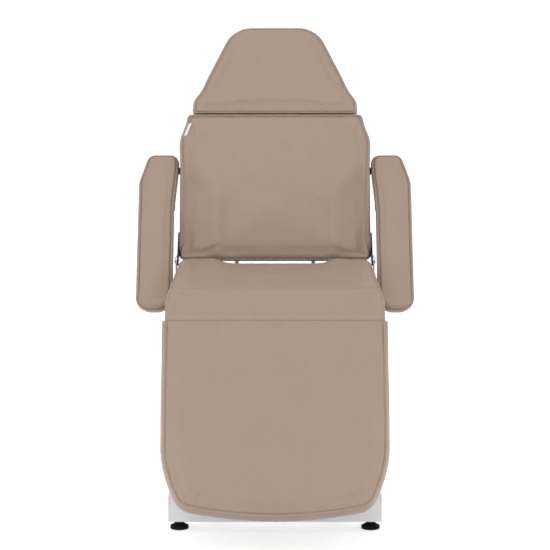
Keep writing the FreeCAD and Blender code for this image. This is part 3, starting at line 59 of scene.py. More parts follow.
NODE_SLOTS = {entry["node"]: entry["material_slot"] for entry in frame["record"]["subparts"]}
PIVOTS = {joint["name"]: Vector(joint["pos_m"]) for joint in frame["joints"] if joint["type"] == "hinge"}
EASED_NODES = ("pump_block", "arm_mounts", "stay_clamps", "base_rails", "seat_cross_tubes", "leg_cross_tube")
BACK_ANGLE, LEG_ANGLE, ARM_ANGLE = 64, 65, 49.5

# Upholstery and trim sizes in metres
OUTLINE_SPACING = 0.002
SOLID_MERGE = 0.00005
PIECE_MERGE = 0.000005
HELD_HEIGHT = 0.008
SLACK_START, SLACK_END = 0.004, 0.045
EDGE_REACH = 0.05
SEAM_BAND = 0.0075
PUCKER_PITCH = 0.02
RIPPLE_HEIGHT, RIPPLE_PITCH = 0.0005, 0.13
LIP_SETBACK, LIP_LIFT = 0.0020, 0.0010
ARM_BOARD_CUT, ARM_BOARD_REACH = 0.026, 0.12
STAPLE_LENGTH, STAPLE_RADIUS, STAPLE_PITCH, STAPLE_INSET = 0.011, 0.0007, 0.036, 0.006
RIB_PITCH, RIB_SINK = 0.0085, 0.0004


class VinylLook(bpy.types.PropertyGroup):
    """Colour and surface of the pads' vinyl."""

    colour: bpy.props.FloatVectorProperty(
        name="Vinyl colour", description="Colour of the upholstery vinyl", subtype="COLOR",
        size=3, min=0, max=1, default=(0.422, 0.3175, 0.2535))
    # The seam colour is also the colour that painted shade on the back pad is mixed toward.
    seam_and_shade_colour: bpy.props.FloatVectorProperty(
        name="Seam colour", description="Colour in the fold of a seam", subtype="COLOR",
        size=3, min=0, max=1, default=(0.085, 0.056, 0.042))
    roughness: bpy.props.FloatProperty(
        name="Roughness", description="How soft the vinyl's shine is", subtype="FACTOR",
        min=0, max=1, default=0.42)
    grain: bpy.props.FloatProperty(
        name="Grain size", description="Size of one cell of the vinyl's grain", subtype="DISTANCE",
        unit="LENGTH", default=0.0016)


class PadForm(bpy.types.PropertyGroup):
    """How the pads are stuffed and sewn."""

    swell: bpy.props.FloatProperty(
        name="Swell", description="Furthest the stuffing may push the cover out", subtype="DISTANCE",
        unit="LENGTH", default=0.006)
    seam_depth: bpy.props.FloatProperty(
        name="Seam depth", description="Depth of the sewn seams", subtype="DISTANCE",
        unit="LENGTH", default=0.0024)
    seam_width: bpy.props.FloatProperty(
        name="Seam width", description="Half width of the fold at a seam", subtype="DISTANCE",
        unit="LENGTH", default=0.0023)


class StudioLook(bpy.types.PropertyGroup):
    """Camera and light."""

    camera_height: bpy.props.FloatProperty(
        name="Camera height", description="Height of the camera above the floor", subtype="DISTANCE",
        unit="LENGTH", default=2.0704)
    camera_distance: bpy.props.FloatProperty(
        name="Camera distance", description="Distance of the camera in front of the column",
        subtype="DISTANCE", unit="LENGTH", default=7.3591)
    camera_pitch: bpy.props.FloatProperty(
        name="Camera pitch", description="How far the camera looks down", subtype="ANGLE",
        unit="ROTATION", default=math.radians(11))
    focal_length: bpy.props.FloatProperty(
        name="Focal length", description="Lens of the camera in millimetres", default=176.73)


# Node helpers
def new_material(name):
    material = bpy.data.materials.new(name)
    material.use_nodes = True
    tree = material.node_tree
    tree.nodes.clear()
    output = tree.nodes.new("ShaderNodeOutputMaterial")
    shader = tree.nodes.new("ShaderNodeBsdfPrincipled")
    tree.links.new(shader.outputs["BSDF"], output.inputs["Surface"])
    return material, tree, shader


def object_coordinates(tree):
    return tree.nodes.new("ShaderNodeTexCoord").outputs["Object"]


def noise(tree, coordinates, scale, detail=3.0, roughness=0.5):
    node = tree.nodes.new("ShaderNodeTexNoise")
    node.inputs["Scale"].default_value = scale
    node.inputs["Detail"].default_value = detail
    node.inputs["Roughness"].default_value = roughness
    tree.links.new(coordinates, node.inputs["Vector"])
    return node.outputs["Fac"]


def remap(tree, value, low, high, start=0.0, end=1.0):
    node = tree.nodes.new("ShaderNodeMapRange")
    node.inputs["From Min"].default_value = start
    node.inputs["From Max"].default_value = end
    node.inputs["To Min"].default_value = low
    node.inputs["To Max"].default_value = high
    tree.links.new(value, node.inputs["Value"])
    return node.outputs["Result"]


def mix_colours(tree, factor, first, second):
    node = tree.nodes.new("ShaderNodeMix")
    node.data_type = "RGBA"
    tree.links.new(factor, node.inputs["Factor"])
    for socket, colour in ((node.inputs["A"], first), (node.inputs["B"], second)):
        if isinstance(colour, bpy.types.NodeSocket):
            tree.links.new(colour, socket)
        else:
            socket.default_value = (*colour, 1.0)
    return node.outputs["Result"]


def bump(tree, height, distance, strength=1.0, under=None):
    node = tree.nodes.new("ShaderNodeBump")
    node.inputs["Distance"].default_value = distance
    node.inputs["Strength"].default_value = strength
    tree.links.new(height, node.inputs["Height"])
    if under is not None:
        tree.links.new(under, node.inputs["Normal"])
    return node.outputs["Normal"]


def seen_directly(tree):
    """1 where the camera, a mirror or a clear piece looks straight at something, else 0."""
    path = tree.nodes.new("ShaderNodeLightPath")
    seen = path.outputs["Is Camera Ray"]
    for kind in ("Is Glossy Ray", "Is Transmission Ray"):
        either = tree.nodes.new("ShaderNodeMath")
        either.operation = "MAXIMUM"
        tree.links.new(seen, either.inputs[0])
        tree.links.new(path.outputs[kind], either.inputs[1])
        seen = either.outputs[0]
    return seen


def vinyl():
    """Satin upholstery vinyl: pebbled grain, faint mottling, darker seam folds and painted shade, the last two
    from the seam attribute.
    """
    look = bpy.context.scene.chair_vinyl
    material, tree, shader = new_material("pebbled_vinyl")
    coordinates = object_coordinates(tree)
    cells = tree.nodes.new("ShaderNodeTexVoronoi")
    cells.feature = "SMOOTH_F1"
    cells.inputs["Scale"].default_value = 1.0 / look.grain
    cells.inputs["Smoothness"].default_value = 0.6
    tree.links.new(coordinates, cells.inputs["Vector"])
    mottle = remap(tree, noise(tree, coordinates, 9.0, 4.0), 0.0, 1.0, 0.35, 0.65)
    base = tuple(look.colour)
    dark = tuple(channel * 0.97 for channel in base)
    light = tuple(min(1.0, channel * 1.015) for channel in base)
    mottled = mix_colours(tree, mottle, dark, light)
    creased = mix_colours(tree, remap(tree, cells.outputs["Distance"], 1.0, 0.0, 0.0, 0.75), mottled,
                          tuple(channel * 0.90 for channel in base))
    # The seam attribute mixes in the seam colour, both for the seam's dark line and for painted shade on the back
    # pad.
    seam = tree.nodes.new("ShaderNodeAttribute")
    seam.attribute_name = "seam"
    colour = mix_colours(tree, seam.outputs["Fac"], creased, tuple(look.seam_and_shade_colour))
    tree.links.new(colour, shader.inputs["Base Color"])
    sheen = noise(tree, coordinates, 24.0, 3.0)
    tree.links.new(remap(tree, sheen, look.roughness - 0.05, look.roughness + 0.07, 0.3, 0.7),
                   shader.inputs["Roughness"])
    folds = bump(tree, noise(tree, coordinates, 38.0, 2.0), 0.0012, 0.35)
    tree.links.new(bump(tree, cells.outputs["Distance"], 0.00018, 0.5, folds), shader.inputs["Normal"])
    shader.inputs["Specular IOR Level"].default_value = 0.30
    return material


def coated(name, colour, roughness, texture_scale, depth, spread=0.04, metallic=0.0, coat=0.0,
           shine=0.5):
    """A painted, moulded or plated surface with fine texture and uneven shine."""
    material, tree, shader = new_material(name)
    coordinates = object_coordinates(tree)
    tone = remap(tree, noise(tree, coordinates, 14.0, 4.0), 0.0, 1.0, 0.3, 0.7)
    tree.links.new(mix_colours(tree, tone, tuple(channel * 0.95 for channel in colour),
                               tuple(min(1.0, channel * 1.03) for channel in colour)),
                   shader.inputs["Base Color"])
    tree.links.new(remap(tree, noise(tree, coordinates, 60.0, 3.0), roughness - spread, roughness + spread,
                         0.3, 0.7), shader.inputs["Roughness"])
    tree.links.new(bump(tree, noise(tree, coordinates, texture_scale, 2.0), depth, 0.4),
                   shader.inputs["Normal"])
    shader.inputs["Metallic"].default_value = metallic
    shader.inputs["Coat Weight"].default_value = coat
    shader.inputs["Specular IOR Level"].default_value = shine
    return material


def frame_finishes():
    return {
        "white_steel": coated("white_powder_coat", (0.92, 0.92, 0.93), 0.34, 900.0, 0.00012, coat=0.1),
        "black_steel": coated("black_powder_coat", (0.018, 0.018, 0.020), 0.42, 800.0, 0.00015),
        "zinc_steel": coated("zinc_plate", (0.60, 0.60, 0.61), 0.33, 400.0, 0.00008, 0.08, 1.0),
        "chrome_rod": coated("hard_chrome", (0.75, 0.76, 0.78), 0.10, 300.0, 0.00002, 0.03, 1.0),
        "black_plastic": coated("black_moulding", (0.022, 0.022, 0.024), 0.50, 1200.0, 0.00015),
        "white_plastic": coated("white_moulding", (0.88, 0.88, 0.88), 0.40, 900.0, 0.00010),
        "rubber_black": coated("black_rubber", (0.007, 0.007, 0.007), 0.70, 700.0, 0.0002, shine=0.15),
        "board_cover": coated("underside_cloth", (0.030, 0.027, 0.025), 0.85, 1500.0, 0.0004),
        "taupe_vinyl": vinyl(),
    }


# Padded pieces
class PadSpace:
    """A pad's own frame: x across, y along the pad, z out of its face, in metres."""

    def __init__(self, origin, angle):
        self.origin = np.array(origin)
        cos, sin = math.cos(math.radians(angle)), math.sin(math.radians(angle))
        self.axes = np.array([[1, 0, 0], [0, cos, sin], [0, -sin, cos]])

    def local(self, points):
        return (points - self.origin) @ self.axes.T

    def world(self, points):
        return points @ self.axes + self.origin

    def node(self, name):
        """A CAD node's points in this frame."""
        return self.local(coordinates_of(frame["nodes"][name].data))


class Outline:
    """A pad's widest outline in its own plane, as close points with outward directions."""

    def __init__(self, corners):
        edges = np.roll(corners, -1, axis=0) - corners
        if np.sum(corners[:, 0] * edges[:, 1] - corners[:, 1] * edges[:, 0]) < 0:
            corners = corners[::-1]
            edges = np.roll(corners, -1, axis=0) - corners
        points, outward = [], []
        for start, edge in zip(corners, edges):
            length = np.linalg.norm(edge)
            if length < 1e-6:
                continue
            count = max(1, int(length / OUTLINE_SPACING))
            for share in np.arange(count) / count:
                points.append(start + share * edge)
                outward.append((edge[1] / length, -edge[0] / length))
        self.points = np.array(points)
        self.outward = around_mean(np.array(outward), 5)
        self.tree = kdtree.KDTree(len(points))
        for index, point in enumerate(points):
            self.tree.insert((*point, 0.0), index)
        self.tree.balance()

    def inset(self, points):
        """How far each point lies inside the outline, and the outline point next to it."""
        nearest = np.array([self.tree.find((*point, 0.0))[1] for point in points])
        return -np.sum((points - self.points[nearest]) * self.outward[nearest], axis=1), nearest


def around_mean(values, reach):
    """Running mean round a closed row of values."""
    total = sum(np.roll(values, step, axis=0) for step in range(-reach, reach + 1))
    return total / (2 * reach + 1)


def hull_outline(points):
    flat = points[:, :2]
    return Outline(flat[geometry.convex_hull_2d([tuple(point) for point in flat])])


def ring_outline(flat):
    """The outline through points that lie round a middle."""
    ring = np.unique(np.round(flat, 4), axis=0)
    centre = (ring.min(axis=0) + ring.max(axis=0)) / 2
    return Outline(ring[np.argsort(np.arctan2(ring[:, 1] - centre[1], ring[:, 0] - centre[0]))])


def level_outline(points):
    """The outline through a solid's widest level, where a hull would bridge a hollow side."""
    low, high = points[:, 2].min(), points[:, 2].max()
    share = (points[:, 2] - low) / (high - low)
    return ring_outline(points[(share > 0.55) & (share < 0.65)][:, :2])


SPACES = {
    "seat": PadSpace((0, 0, 0), 0),
    "back_rest": PadSpace(PIVOTS["back_recline"], BACK_ANGLE),
    "headrest": PadSpace(PIVOTS["head_tilt"], BACK_ANGLE),
    "leg_rest": PadSpace(PIVOTS["leg_raise"], LEG_ANGLE),
    "armrest_left": PadSpace(PIVOTS["arm_raise_left"], ARM_ANGLE),
    "armrest_right": PadSpace(PIVOTS["arm_raise_right"], ARM_ANGLE),
}


def coordinates_of(mesh):
    values = np.empty(len(mesh.vertices) * 3, np.float32)
    mesh.vertices.foreach_get("co", values)
    return values.reshape(-1, 3).astype(float)


def normals_of(mesh):
    values = np.empty(len(mesh.vertices) * 3, np.float32)
    mesh.vertex_normals.foreach_get("vector", values)
    return values.reshape(-1, 3).astype(float)


def set_coordinates(mesh, points):
    mesh.vertices.foreach_set("co", points.astype(np.float32).ravel())
    mesh.update()


def bake(piece):
    """Apply a piece's modifiers to its mesh."""
    bpy.context.view_layer.update()
    graph = bpy.context.evaluated_depsgraph_get()
    mesh = bpy.data.meshes.new_from_object(piece.evaluated_get(graph), depsgraph=graph)
    piece.modifiers.clear()
    piece.data = mesh
    mesh.name = piece.name


def roll_distance(points):
    """Distance from the leg rest's hinge line, round which the seat's front is rolled."""
    hinge = np.array(PIVOTS["leg_raise"])
    return np.linalg.norm((points - hinge)[:, 1:], axis=1)


def onto_roll(points, chosen, radius):
    """Move the chosen points straight to a distance from that hinge line."""
    hinge = np.array(PIVOTS["leg_raise"])[1:]
    reach = roll_distance(points[chosen])
    points[chosen, 1:] = hinge + (points[chosen, 1:] - hinge) * (radius / reach)[:, None]


def pad_blank(name, node, space, voxel, hollow):
    """A remeshed copy of a pad's solid, with a hollow end filled, ready to be stuffed."""
    shape = bmesh.new()
    shape.from_mesh(frame["nodes"][node].data)
    bmesh.ops.remove_doubles(shape, verts=shape.verts, dist=SOLID_MERGE)
    bmesh.ops.recalc_face_normals(shape, faces=shape.faces)
    mesh = bpy.data.meshes.new(name)
    shape.to_mesh(mesh)
    shape.free()
    if hollow:
        points = coordinates_of(mesh)
        local = space.local(points)
        local[roll_distance(points) < hollow + 0.0003, 1] = local[:, 1].max()
        set_coordinates(mesh, space.world(local))
    piece = bpy.data.objects.new(name, mesh)
    bpy.context.scene.collection.objects.link(piece)
    remesh = piece.modifiers.new("weave", "REMESH")
    remesh.mode = "VOXEL"
    remesh.voxel_size = voxel
    smooth = piece.modifiers.new("ease", "SMOOTH")
    smooth.factor = 0.5
    smooth.iterations = 5
    bake(piece)
    return piece


def stuff(piece, fixed, slack):
    """Blow the cover up against its stitching, holding it where it lies on its board."""
    limit = bpy.context.scene.chair_pads.swell
    before = coordinates_of(piece.data)
    start = before - normals_of(piece.data) * (limit * 0.5) * (1.0 - fixed)[:, None]
    set_coordinates(piece.data, start)
    held = piece.vertex_groups.new(name="held")
    held.add([int(index) for index in np.flatnonzero(fixed > 0.5)], 1.0, "REPLACE")
    cloth = piece.modifiers.new("stuffing", "CLOTH")
    cloth.settings.use_pressure = True
    cloth.settings.uniform_pressure_force = 4.0
    cloth.settings.vertex_group_mass = "held"
    cloth.settings.effector_weights.gravity = 0.0
    cloth.settings.quality = 4
    cloth.settings.tension_stiffness = 12.0
    cloth.settings.compression_stiffness = 12.0
    cloth.settings.bending_stiffness = 1.5
    cloth.point_cache.frame_start = 1
    cloth.point_cache.frame_end = 20
    scene = bpy.context.scene
    for number in range(1, 21):
        scene.frame_set(number)
    graph = bpy.context.evaluated_depsgraph_get()
    after = coordinates_of(piece.evaluated_get(graph).data)
    scene.frame_set(1)
    piece.modifiers.clear()
    piece.vertex_groups.clear()
    moved = after - start
    reach = np.linalg.norm(moved, axis=1)
    share = np.minimum(1.0, limit / np.maximum(reach, 1e-9))
    swollen = start + moved * share[:, None]
    set_coordinates(piece.data, before + (swollen - before) * slack[:, None])


def refine(piece):
    """One subdivision, so that seams and folds have points to bend."""
    divide = piece.modifiers.new("refine", "SUBSURF")
    divide.levels = divide.render_levels = 1
    bake(piece)


def split_band(piece, chosen):
    """Halve the faces along a seam, so that it stays a clean line."""
    shape = bmesh.new()
    shape.from_mesh(piece.data)
    edges = [edge for edge in shape.edges if chosen[edge.verts[0].index] and chosen[edge.verts[1].index]]
    bmesh.ops.subdivide_edges(shape, edges=edges, cuts=1, use_grid_fill=True)
    shape.to_mesh(piece.data)
    shape.free()


def fit_outline(local, outline):
    """Ease the cover's edge out to the solid's outline, which remeshing draws in."""
    inset, nearest = outline.inset(local[:, :2])
    short = np.full(len(outline.points), np.inf)
    np.minimum.at(short, nearest, inset)
    short = np.minimum.reduce([np.roll(short, step) for step in range(-4, 5)])
    short[short > 0.012] = 0.0
    short = around_mean(short, 6)
    step = short[nearest] * (1.0 - ramp(inset, 0.0, EDGE_REACH))
    local[:, :2] += outline.outward[nearest] * step[:, None]
    return local


def ridge(values, middle, width):
    return np.exp(-((values - middle) / width) ** 2)


def ramp(values, start, end):
    share = np.clip((values - start) / (end - start), 0.0, 1.0)
    return share * share * (3 - 2 * share)


def waves(points, seed, pitch, count=10):
    """Soft seeded ripples over a surface, about -1 to 1."""
    chance = np.random.default_rng(seed)
    total = np.zeros(len(points))
    for _ in range(count):
        direction = chance.normal(size=3)
        direction /= np.linalg.norm(direction)
        length = pitch * chance.uniform(0.6, 1.6)
        total += np.sin(points @ direction * (2 * math.pi / length) + chance.uniform(0, 2 * math.pi))
    return total / math.sqrt(count)


def add_attribute(mesh, name, values):
    attribute = mesh.attributes.get(name) or mesh.attributes.new(name, "FLOAT", "POINT")
    attribute.data.foreach_set("value", values.astype(np.float32))


def finish_pad(piece, node, body):
    piece.data.materials.clear()
    piece.data.materials.append(finish_of("taupe_vinyl"))
    piece.data.polygons.foreach_set("use_smooth", [True] * len(piece.data.polygons))
    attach(piece, body)
    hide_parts(node)


def sew_pad(name, node, body, voxel, seed, seam_inset, seam_tone, form, outline_of=hull_outline,
            shape=None, trim=(0.0, 0.0), hollow=0.0, roll=0.0):
    """Stuff, fit and sew one pad. seam_inset gives the seam's distance from the edge for each point,
    shape bends the whole pad, trim draws its two ends in, and form adds what only this pad has: its shaping and
    any painted shade."""
    settings = bpy.context.scene.chair_pads
    space = SPACES[body]
    cad = space.node(node)
    low, high = cad[:, 2].min(), cad[:, 2].max()
    first, last = cad[:, 1].min(), cad[:, 1].max()
    ends = (first, last), (first + trim[0], last - trim[1])
    cad[:, 1] = np.interp(cad[:, 1], *ends)
    outline = outline_of(cad)
    piece = pad_blank(name, node, space, voxel, hollow)
    local = space.local(coordinates_of(piece.data))
    inset = outline.inset(local[:, :2])[0]
    fixed = (local[:, 2] < low + HELD_HEIGHT).astype(float)
    stuff(piece, fixed, ramp(inset, SLACK_START, SLACK_END))
    refine(piece)
    local = space.local(coordinates_of(piece.data))
    local[:, 1] = np.interp(local[:, 1], *ends)
    local = fit_outline(local, outline)
    upper = local[:, 2] > low + 0.45 * (high - low)
    inset = outline.inset(local[:, :2])[0]
    set_coordinates(piece.data, space.world(local))
    split_band(piece, upper & (np.abs(inset - seam_inset(local)) < SEAM_BAND))
    mesh = piece.data
    local = space.local(coordinates_of(mesh))
    inset = outline.inset(local[:, :2])[0]
    beside = inset - seam_inset(local)
    level = ramp((local[:, 2] - low) / (high - low), 0.45, 0.55)
    if shape:
        set_coordinates(mesh, space.world(shape(local.copy(), low, high)))
    points, normals = coordinates_of(mesh), normals_of(mesh)
    facing = (normals @ space.axes.T)[:, 2]
    front = ramp(facing, -0.05, 0.15) * level
    width = settings.seam_width
    pucker = 1.0 + 0.22 * waves(points, seed, PUCKER_PITCH, 6)
    offset = settings.seam_depth * (0.45 * ridge(beside, -2.3 * width, 1.3 * width)
                                    - ridge(beside, 0.0, width)) * front * pucker
    offset += RIPPLE_HEIGHT * waves(points, seed + 1, RIPPLE_PITCH) * ramp(inset, 0.0, 0.03) * front
    thread = seam_tone * ridge(beside, 0.0, 0.9 * width) * front
    extra, painted_shade = form(local, inset, facing)
    points = points + normals * (offset + extra)[:, None]
    away = roll_distance(points)
    if hollow:
        onto_roll(points, away < hollow, hollow)
    if roll:
        onto_roll(points, (away > roll) & (points[:, 1] < PIVOTS["leg_raise"].y), roll)
    set_coordinates(mesh, points)
    # The seam attribute holds the seam's dark thread plus the painted shade from form; the vinyl mixes both toward
    # the seam colour.
    add_attribute(mesh, "seam", np.clip(thread + painted_shade, 0.0, 1.0))
    finish_pad(piece, node, body)
    return piece


def tucked_inset(distance):
    """A seam at an even distance from the edge that lies further round it at the lower end."""
    def inset(local):
        end = local[:, 1].min()
        return 0.0012 + (distance - 0.0012) * ramp(local[:, 1], end + 0.012, end + 0.060)
    return inset


def even_inset(distance):
    """A seam at the same distance from the edge all round."""
    return lambda local: np.full(len(local), distance)


def slanted_end(local, high, slope, reach):
    """Draw the lower end in towards the board, as a cover pulled round it lies."""
    end = local[:, 1].min()
    local[:, 1] += slope * (high - local[:, 2]) * (1.0 - ramp(local[:, 1], end, end + reach))
    return local


def fuller_edge(local, low, high, distance, outward):
    """Fill an edge out square to the face, where a pad butts against the next one."""
    share = ramp((local[:, 2] - low) / (high - low), 0.4, 0.6)
    near = 1.0 - ramp(distance, 0.0, 0.03)
    local[:, 2] += (high - local[:, 2]) * 0.8 * near * share
    local[:, 1] += outward * distance * 0.65 * (1.0 - ramp(distance, 0.0, 0.018)) * share
    return local


def back_shape(local, low, high):
    local = slanted_end(local, high, 0.27, 0.08)
    local[:, 0] *= 1.0 + 0.010 * ramp(local[:, 1], 0.28, 0.36)
    return fuller_edge(local, low, high, local[:, 1].max() - local[:, 1], 1)


def head_shape(local, low, high):
    local = slanted_end(local, high, 0.12, 0.05)
    end = local[:, 1].min()
    local[:, 1] -= 0.0012 * (1.0 - ramp(local[:, 1], end, end + 0.03))
    local[:, 0] *= 1.0 - 0.018 * ridge(local[:, 1] - local[:, 1].min(), 0.068, 0.024)
    return fuller_edge(local, low, high, local[:, 1] - local[:, 1].min(), -1)


def plain_form(local, inset, facing):
    """Nothing but the stuffing and the seam."""
    return np.zeros(len(local)), np.zeros(len(local))


def seat_form(local, inset, facing):
    """A little more filling at the back of the seat's trough."""
    middle = 1.0 - ramp(np.abs(local[:, 0]), 0.13, 0.20)
    return 0.003 * ramp(local[:, 1], 0.0, 0.10) * middle * ramp(facing, 0.3, 0.7), np.zeros(len(local))


def back_form(local, inset, facing):
    """Lumbar shaping of the lower back: side wings that fall away, upright ridges and shallow strips, with painted
    shade that darkens the side wings and the strips.
    """
    across, along = np.abs(local[:, 0]), local[:, 1]
    front = ramp(facing, 0.1, 0.5) * ramp(inset, 0.004, 0.022)
    wing_top = 0.212 + 0.853 * (across - 0.176)
    below = 1.0 - ramp(along - wing_top, -0.050, 0.025)
    wing = np.maximum(across - 0.170, 0.0)
    offset = -0.15 * wing * below
    upright = 1.0 - ramp(along, 0.165, 0.215)
    offset += 0.0028 * ridge(across, 0.163, 0.017) * upright
    offset -= 0.0030 * ridge(across, 0.128, 0.026) * (1.0 - ramp(along, 0.13, 0.21))
    for place, length in ((0.196, 0.020), (0.206, 0.014)):
        slant = along - place - 0.6 * (across - 0.118)
        offset -= 0.0011 * ridge(slant, 0.0, 0.0035) * ridge(across, 0.118, length)
    # Painted shade: the side wings and the shallow strips are darkened toward the seam colour, standing in for
    # wings that face away from the light and lie under the armrests.
    painted_shade = 0.07 * ramp(across, 0.165, 0.195) * below + 0.012 * ridge(across, 0.128, 0.026) * upright
    return offset * front, painted_shade * front


def leg_form(local, inset, facing):
    """Faint creases across the leg pad and two slack upright stretches."""
    across, along = local[:, 0], -local[:, 1]
    front = ramp(facing, 0.3, 0.7)
    offset = -0.0009 * ridge(along, 0.098 + 0.006 * np.cos(across * 9), 0.008) * ridge(across, 0.01, 0.10)
    wavy = 0.150 + 0.005 * np.cos(across * 12 + 1)
    offset -= 0.0008 * ridge(along, wavy, 0.007) * ridge(across, 0.02, 0.06)
    offset -= 0.0008 * ridge(along, 0.172, 0.007) * ridge(across, -0.09, 0.05)
    offset -= 0.0018 * ridge(np.abs(across), 0.208, 0.030) * ridge(along, 0.290, 0.11)
    return offset * front, np.zeros(len(local))


# Fastenings and trim
def finish_of(slot):
    """The finish the frame's own pieces of this slot wear."""
    node = next(name for name, used in NODE_SLOTS.items() if used == slot)
    return frame["nodes"][node].data.materials[0]


def new_piece(name, shape, body, slot):
    """Close a modelled piece, paint it and fix it to its body."""
    bmesh.ops.remove_doubles(shape, verts=shape.verts, dist=PIECE_MERGE)
    bmesh.ops.recalc_face_normals(shape, faces=shape.faces)
    mesh = bpy.data.meshes.new(name)
    shape.to_mesh(mesh)
    shape.free()
    mesh.polygons.foreach_set("use_smooth", [True] * len(mesh.polygons))
    mesh.set_sharp_from_angle(angle=math.radians(40))
    mesh.materials.append(finish_of(slot))
    piece = bpy.data.objects.new(name, mesh)
    bpy.context.scene.collection.objects.link(piece)
    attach(piece, body)
    return piece


def revolved(profile, steps, closed=False):
    """A pattern spun from points of radius and height about Z."""
    shape = bmesh.new()
    points = [shape.verts.new((radius, 0.0, height)) for radius, height in profile]
    edges = [shape.edges.new(pair) for pair in zip(points, points[1:])]
    if closed:
        edges.append(shape.edges.new((points[-1], points[0])))
    bmesh.ops.spin(shape, geom=points + edges, cent=(0, 0, 0), axis=(0, 0, 1), dvec=(0, 0, 0),
                   angle=2 * math.pi, steps=steps, use_merge=True)
    bmesh.ops.remove_doubles(shape, verts=shape.verts, dist=PIECE_MERGE)
    return shape


def as_pattern(shape):
    mesh = bpy.data.meshes.new("pattern")
    shape.to_mesh(mesh)
    shape.free()
    return mesh


def button_head(radius, height):
    """A domed screw head with a driver socket."""
    profile = [(0.0, 0.40), (0.36, 0.40), (0.42, 0.95), (0.50, 1.0), (0.72, 0.90), (0.92, 0.58), (1.0, 0.18),
               (1.0, 0.0), (0.0, 0.0)]
    return as_pattern(revolved([(radius * across, height * up) for across, up in profile], 16))


def hex_head(radius, height, washer):
    """A hexagon head with eased corners on a washer."""
    shape = revolved([(0.0, 0.0), (radius * 1.35, 0.0), (radius * 1.35, washer * 0.8),
                      (radius * 1.28, washer), (0.0, washer)], 20)
    ring = bmesh.ops.create_circle(shape, cap_ends=True, segments=6, radius=radius)["verts"]
    bmesh.ops.translate(shape, verts=ring, vec=(0, 0, washer))
    face = next(face for face in ring[0].link_faces if len(face.verts) == 6)
    top = bmesh.ops.extrude_face_region(shape, geom=[face], use_keep_orig=True)["geom"]
    raised = [item for item in top if isinstance(item, bmesh.types.BMVert)]
    bmesh.ops.translate(shape, verts=raised, vec=(0, 0, height))
    rim = [item for item in top if isinstance(item, bmesh.types.BMEdge)]
    bmesh.ops.bevel(shape, geom=rim, offset=radius * 0.14, affect="EDGES", segments=2, profile=0.5,
                    material=-1)
    return as_pattern(shape)


def bead(length, radius, ripple=0.14):
    """A weld bead, or with no ripple a staple's wire, from the origin along Z."""
    count = max(2, int(length / (radius * 1.1))) if ripple else 2
    profile = [(0.0, 0.0), (radius * 0.7, radius * 0.15)]
    for number in range(1, 2 * count):
        swell = 1.0 + ripple * (1 if number % 2 else -1)
        profile.append((radius * swell, length * number / (2 * count)))
    profile += [(radius * 0.7, length - radius * 0.15), (0.0, length)]
    return as_pattern(revolved(profile, 8))


def grip_ring(radius, height, half):
    """A rounded rib round a handle."""
    profile = [(radius - height, -half), (radius, -half), (radius + height * 0.75, -half * 0.6),
               (radius + height, 0.0), (radius + height * 0.75, half * 0.6), (radius, half),
               (radius - height, half)]
    return as_pattern(revolved(profile, 24, closed=True))


def stamp(shape, pattern, place, direction):
    """Add a copy of a pattern, standing on a place and pointing in a direction."""
    shape.from_mesh(pattern)
    shape.verts.ensure_lookup_table()
    turn = Vector(direction).to_track_quat("Z", "Y").to_matrix().to_4x4()
    turn.translation = Vector(place)
    bmesh.ops.transform(shape, matrix=turn, verts=shape.verts[-len(pattern.vertices):])


def side_box(points, side):
    """Lowest and highest corner of the part of a piece on one side."""
    chosen = points[points[:, 0] * side > 0]
    return chosen.min(axis=0), chosen.max(axis=0)


def out(space, local):
    return Vector(space.world(np.array([local]))[0])


def rearward(space):
    return Vector(-space.axes[2])


def cut_back(local):
    """Draw an armrest board's lower end in, clear of the tucked cover."""
    end = local[:, 1].min()
    local[:, 1] += ARM_BOARD_CUT * (1.0 - ramp(local[:, 1], end, end + ARM_BOARD_REACH))
    return local


def near_corners(low, high, across_in, along_in):
    """Places near the four corners of a plate."""
    return [(across, along) for across in (low[0] + across_in, high[0] - across_in)
            for along in (low[1] + along_in, high[1] - along_in)]


def staple_row(shape, space, node):
    """Staples round the back of a covered board, a little inside its edge."""
    points = space.node(node)
    rear = points[:, 2].min()
    if node.startswith("arm"):
        points = cut_back(points)
        outline = ring_outline(points[np.abs(points[:, 2] - rear) < 0.0005][:, :2])
    else:
        outline = hull_outline(points)
    wire = bead(STAPLE_LENGTH, STAPLE_RADIUS, 0.0)
    step = int(STAPLE_PITCH / OUTLINE_SPACING)
    for index in range(step // 2, len(outline.points), step):
        normal = outline.outward[index] / np.linalg.norm(outline.outward[index])
        along = np.array((-normal[1], normal[0]))
        start = outline.points[index] - normal * STAPLE_INSET - along * STAPLE_LENGTH / 2
        stamp(shape, wire, out(space, (*start, rear)), out(space, (*along, 0.0)) - out(space, (0, 0, 0)))
    bpy.data.meshes.remove(wire)


class CHAIR_OT_frame_finish(bpy.types.Operator):
    """Paint, plate and mould the frame's own pieces"""

    bl_idname = "chair.frame_finish"
    bl_label = "Frame finishes"

    def execute(self, context):
        finishes = frame_finishes()
        for node, slot in NODE_SLOTS.items():
            mesh = frame["nodes"][node].data
            mesh.materials.clear()
            mesh.materials.append(finishes[slot])
        for node in EASED_NODES:
            piece = frame["nodes"][node]
            weld = piece.modifiers.new("weld", "WELD")
            weld.merge_threshold = SOLID_MERGE
            ease = piece.modifiers.new("ease", "BEVEL")
            ease.width = 0.0014
            ease.segments = 2
            ease.limit_method = "ANGLE"
            ease.angle_limit = math.radians(50)
        return {"FINISHED"}


class CHAIR_OT_back_pad(bpy.types.Operator):
    """Upholster the back rest"""

    bl_idname = "chair.back_pad"
    bl_label = "Back pad"

    def execute(self, context):
        sew_pad("back_cushion", "back_pad", "back_rest", 0.0055, 11, tucked_inset(0.0090), 0.36,
                back_form, shape=back_shape)
        return {"FINISHED"}


